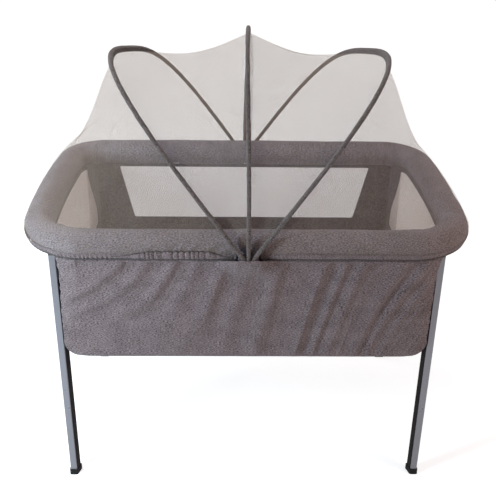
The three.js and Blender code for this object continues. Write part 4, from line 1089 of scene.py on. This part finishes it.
def inflate(obj):
    """Blows a closed mesh up with Blender's cloth, no point moving further than MOST_PUFF."""
    remesh = obj.modifiers.new("remesh", "REMESH")
    remesh.mode, remesh.voxel_size = "VOXEL", VOXEL
    applied(obj)
    before = points_of(obj)
    cloth = obj.modifiers.new("cloth", "CLOTH")
    cloth.settings.use_pressure = True
    cloth.settings.uniform_pressure_force = PRESSURE
    cloth.settings.effector_weights.gravity = 0
    cloth.point_cache.frame_end = PRESSURE_FRAMES
    for number in range(1, PRESSURE_FRAMES + 1):
        bpy.context.scene.frame_set(number)
    move = points_of(applied(obj)) - before
    length = np.linalg.norm(move, axis=1, keepdims=True)
    move *= np.minimum(1, MOST_PUFF / np.maximum(length, 1e-9))
    obj.data.vertices.foreach_set("co", (before + move).ravel())
    bpy.context.scene.frame_set(1)


# ---- stage ----

def soft_light(name, at, aim, size, power, colour):
    data = bpy.data.lights.new(name, "AREA")
    data.shape, data.size, data.energy, data.color = "SQUARE", size, power, colour
    lamp = new_object(name, data)
    lamp.location = at
    lamp.rotation_euler = (Vector(aim) - Vector(at)).to_track_quat("-Z", "Y").to_euler()


def seen_directly(tree):
    """1 for what the camera sees, also in gloss and through clear things."""
    path = node(tree, "LightPath")
    return math_of(tree, "MAXIMUM", path.outputs["Is Camera Ray"],
                   math_of(tree, "MAXIMUM", path.outputs["Is Glossy Ray"],
                           path.outputs["Is Transmission Ray"]))


def make_stage():
    floor = mesh_object("floor", [(x, y, -0.0002) for x, y in ((-6, -6), (6, -6), (6, 6), (-6, 6))],
                        [(0, 1, 2, 3)], smooth=False)
    material, tree, place, shader = shader_of("floor", "Object")
    shade = mixed(tree, noise_of(tree, place, (9, 9, 9)), (0.60, 0.60, 0.60), (0.66, 0.66, 0.66))
    fill(tree, shader, {"Base Color": shade, "Roughness": 0.9})
    # the floor glows as the camera sees it, more so further off, up to the background's white
    away = node(tree, "VectorMath", {0: place}, operation="LENGTH").outputs["Value"]
    glow = math_of(tree, "MULTIPLY", seen_directly(tree), remap(tree, away, 0.4, 3.5, 0.70, 0.86))
    glow = node(tree, "Emission", {"Strength": glow})
    both = node(tree, "AddShader", {0: shader.outputs[0], 1: glow.outputs[0]})
    tree.links.new(both.outputs[0], tree.nodes["Material Output"].inputs["Surface"])
    floor.data.materials.append(material)

    world = bpy.data.worlds.new("studio")
    world.use_nodes = True
    bpy.context.scene.world = world
    tree = world.node_tree
    sky = tree.nodes["Background"]
    seen = seen_directly(tree)
    fill(tree, sky, {"Color": mixed(tree, seen, (1.0, 0.86, 0.84), (1, 1, 1)),
                     "Strength": remap(tree, seen, 0, 1, 0.23, 1.0)})
    soft_light("key", (-1.08, -0.98, 0.9), (-1.1, -0.25, 0.42), 0.4, 28.5, (0.71, 0.88, 1.0))
    soft_light("top", (-0.8, 0.3, 2.5), (0, 0, 0.5), 1.6, 30, (0.93, 0.97, 1.0))
    soft_light("fill", (1.4, -0.9, 1.1), (0, 0, 0.5), 0.7, 8.5, (1.0, 0.86, 0.80))
    bpy.context.scene.view_settings.view_transform = "Standard"


make_camera()
make_rail_cover()
for number, (name, hoop) in enumerate(HOOPS.items()):
    make_hoop(name, hoop, 50 + 3 * number)
for way in (-1, 1):
    make_hub_tab(way)
for side, sign, seed in (("left", -1, 60), ("right", 1, 70)):
    make_nets(side, sign, seed)
    make_ruffle(side, sign, seed + 4)
make_bunch()
make_shell()
for number, name in enumerate(WINDOWS):
    make_window(name, 80 + number)
make_front_panel()
make_mattress()
make_stage()
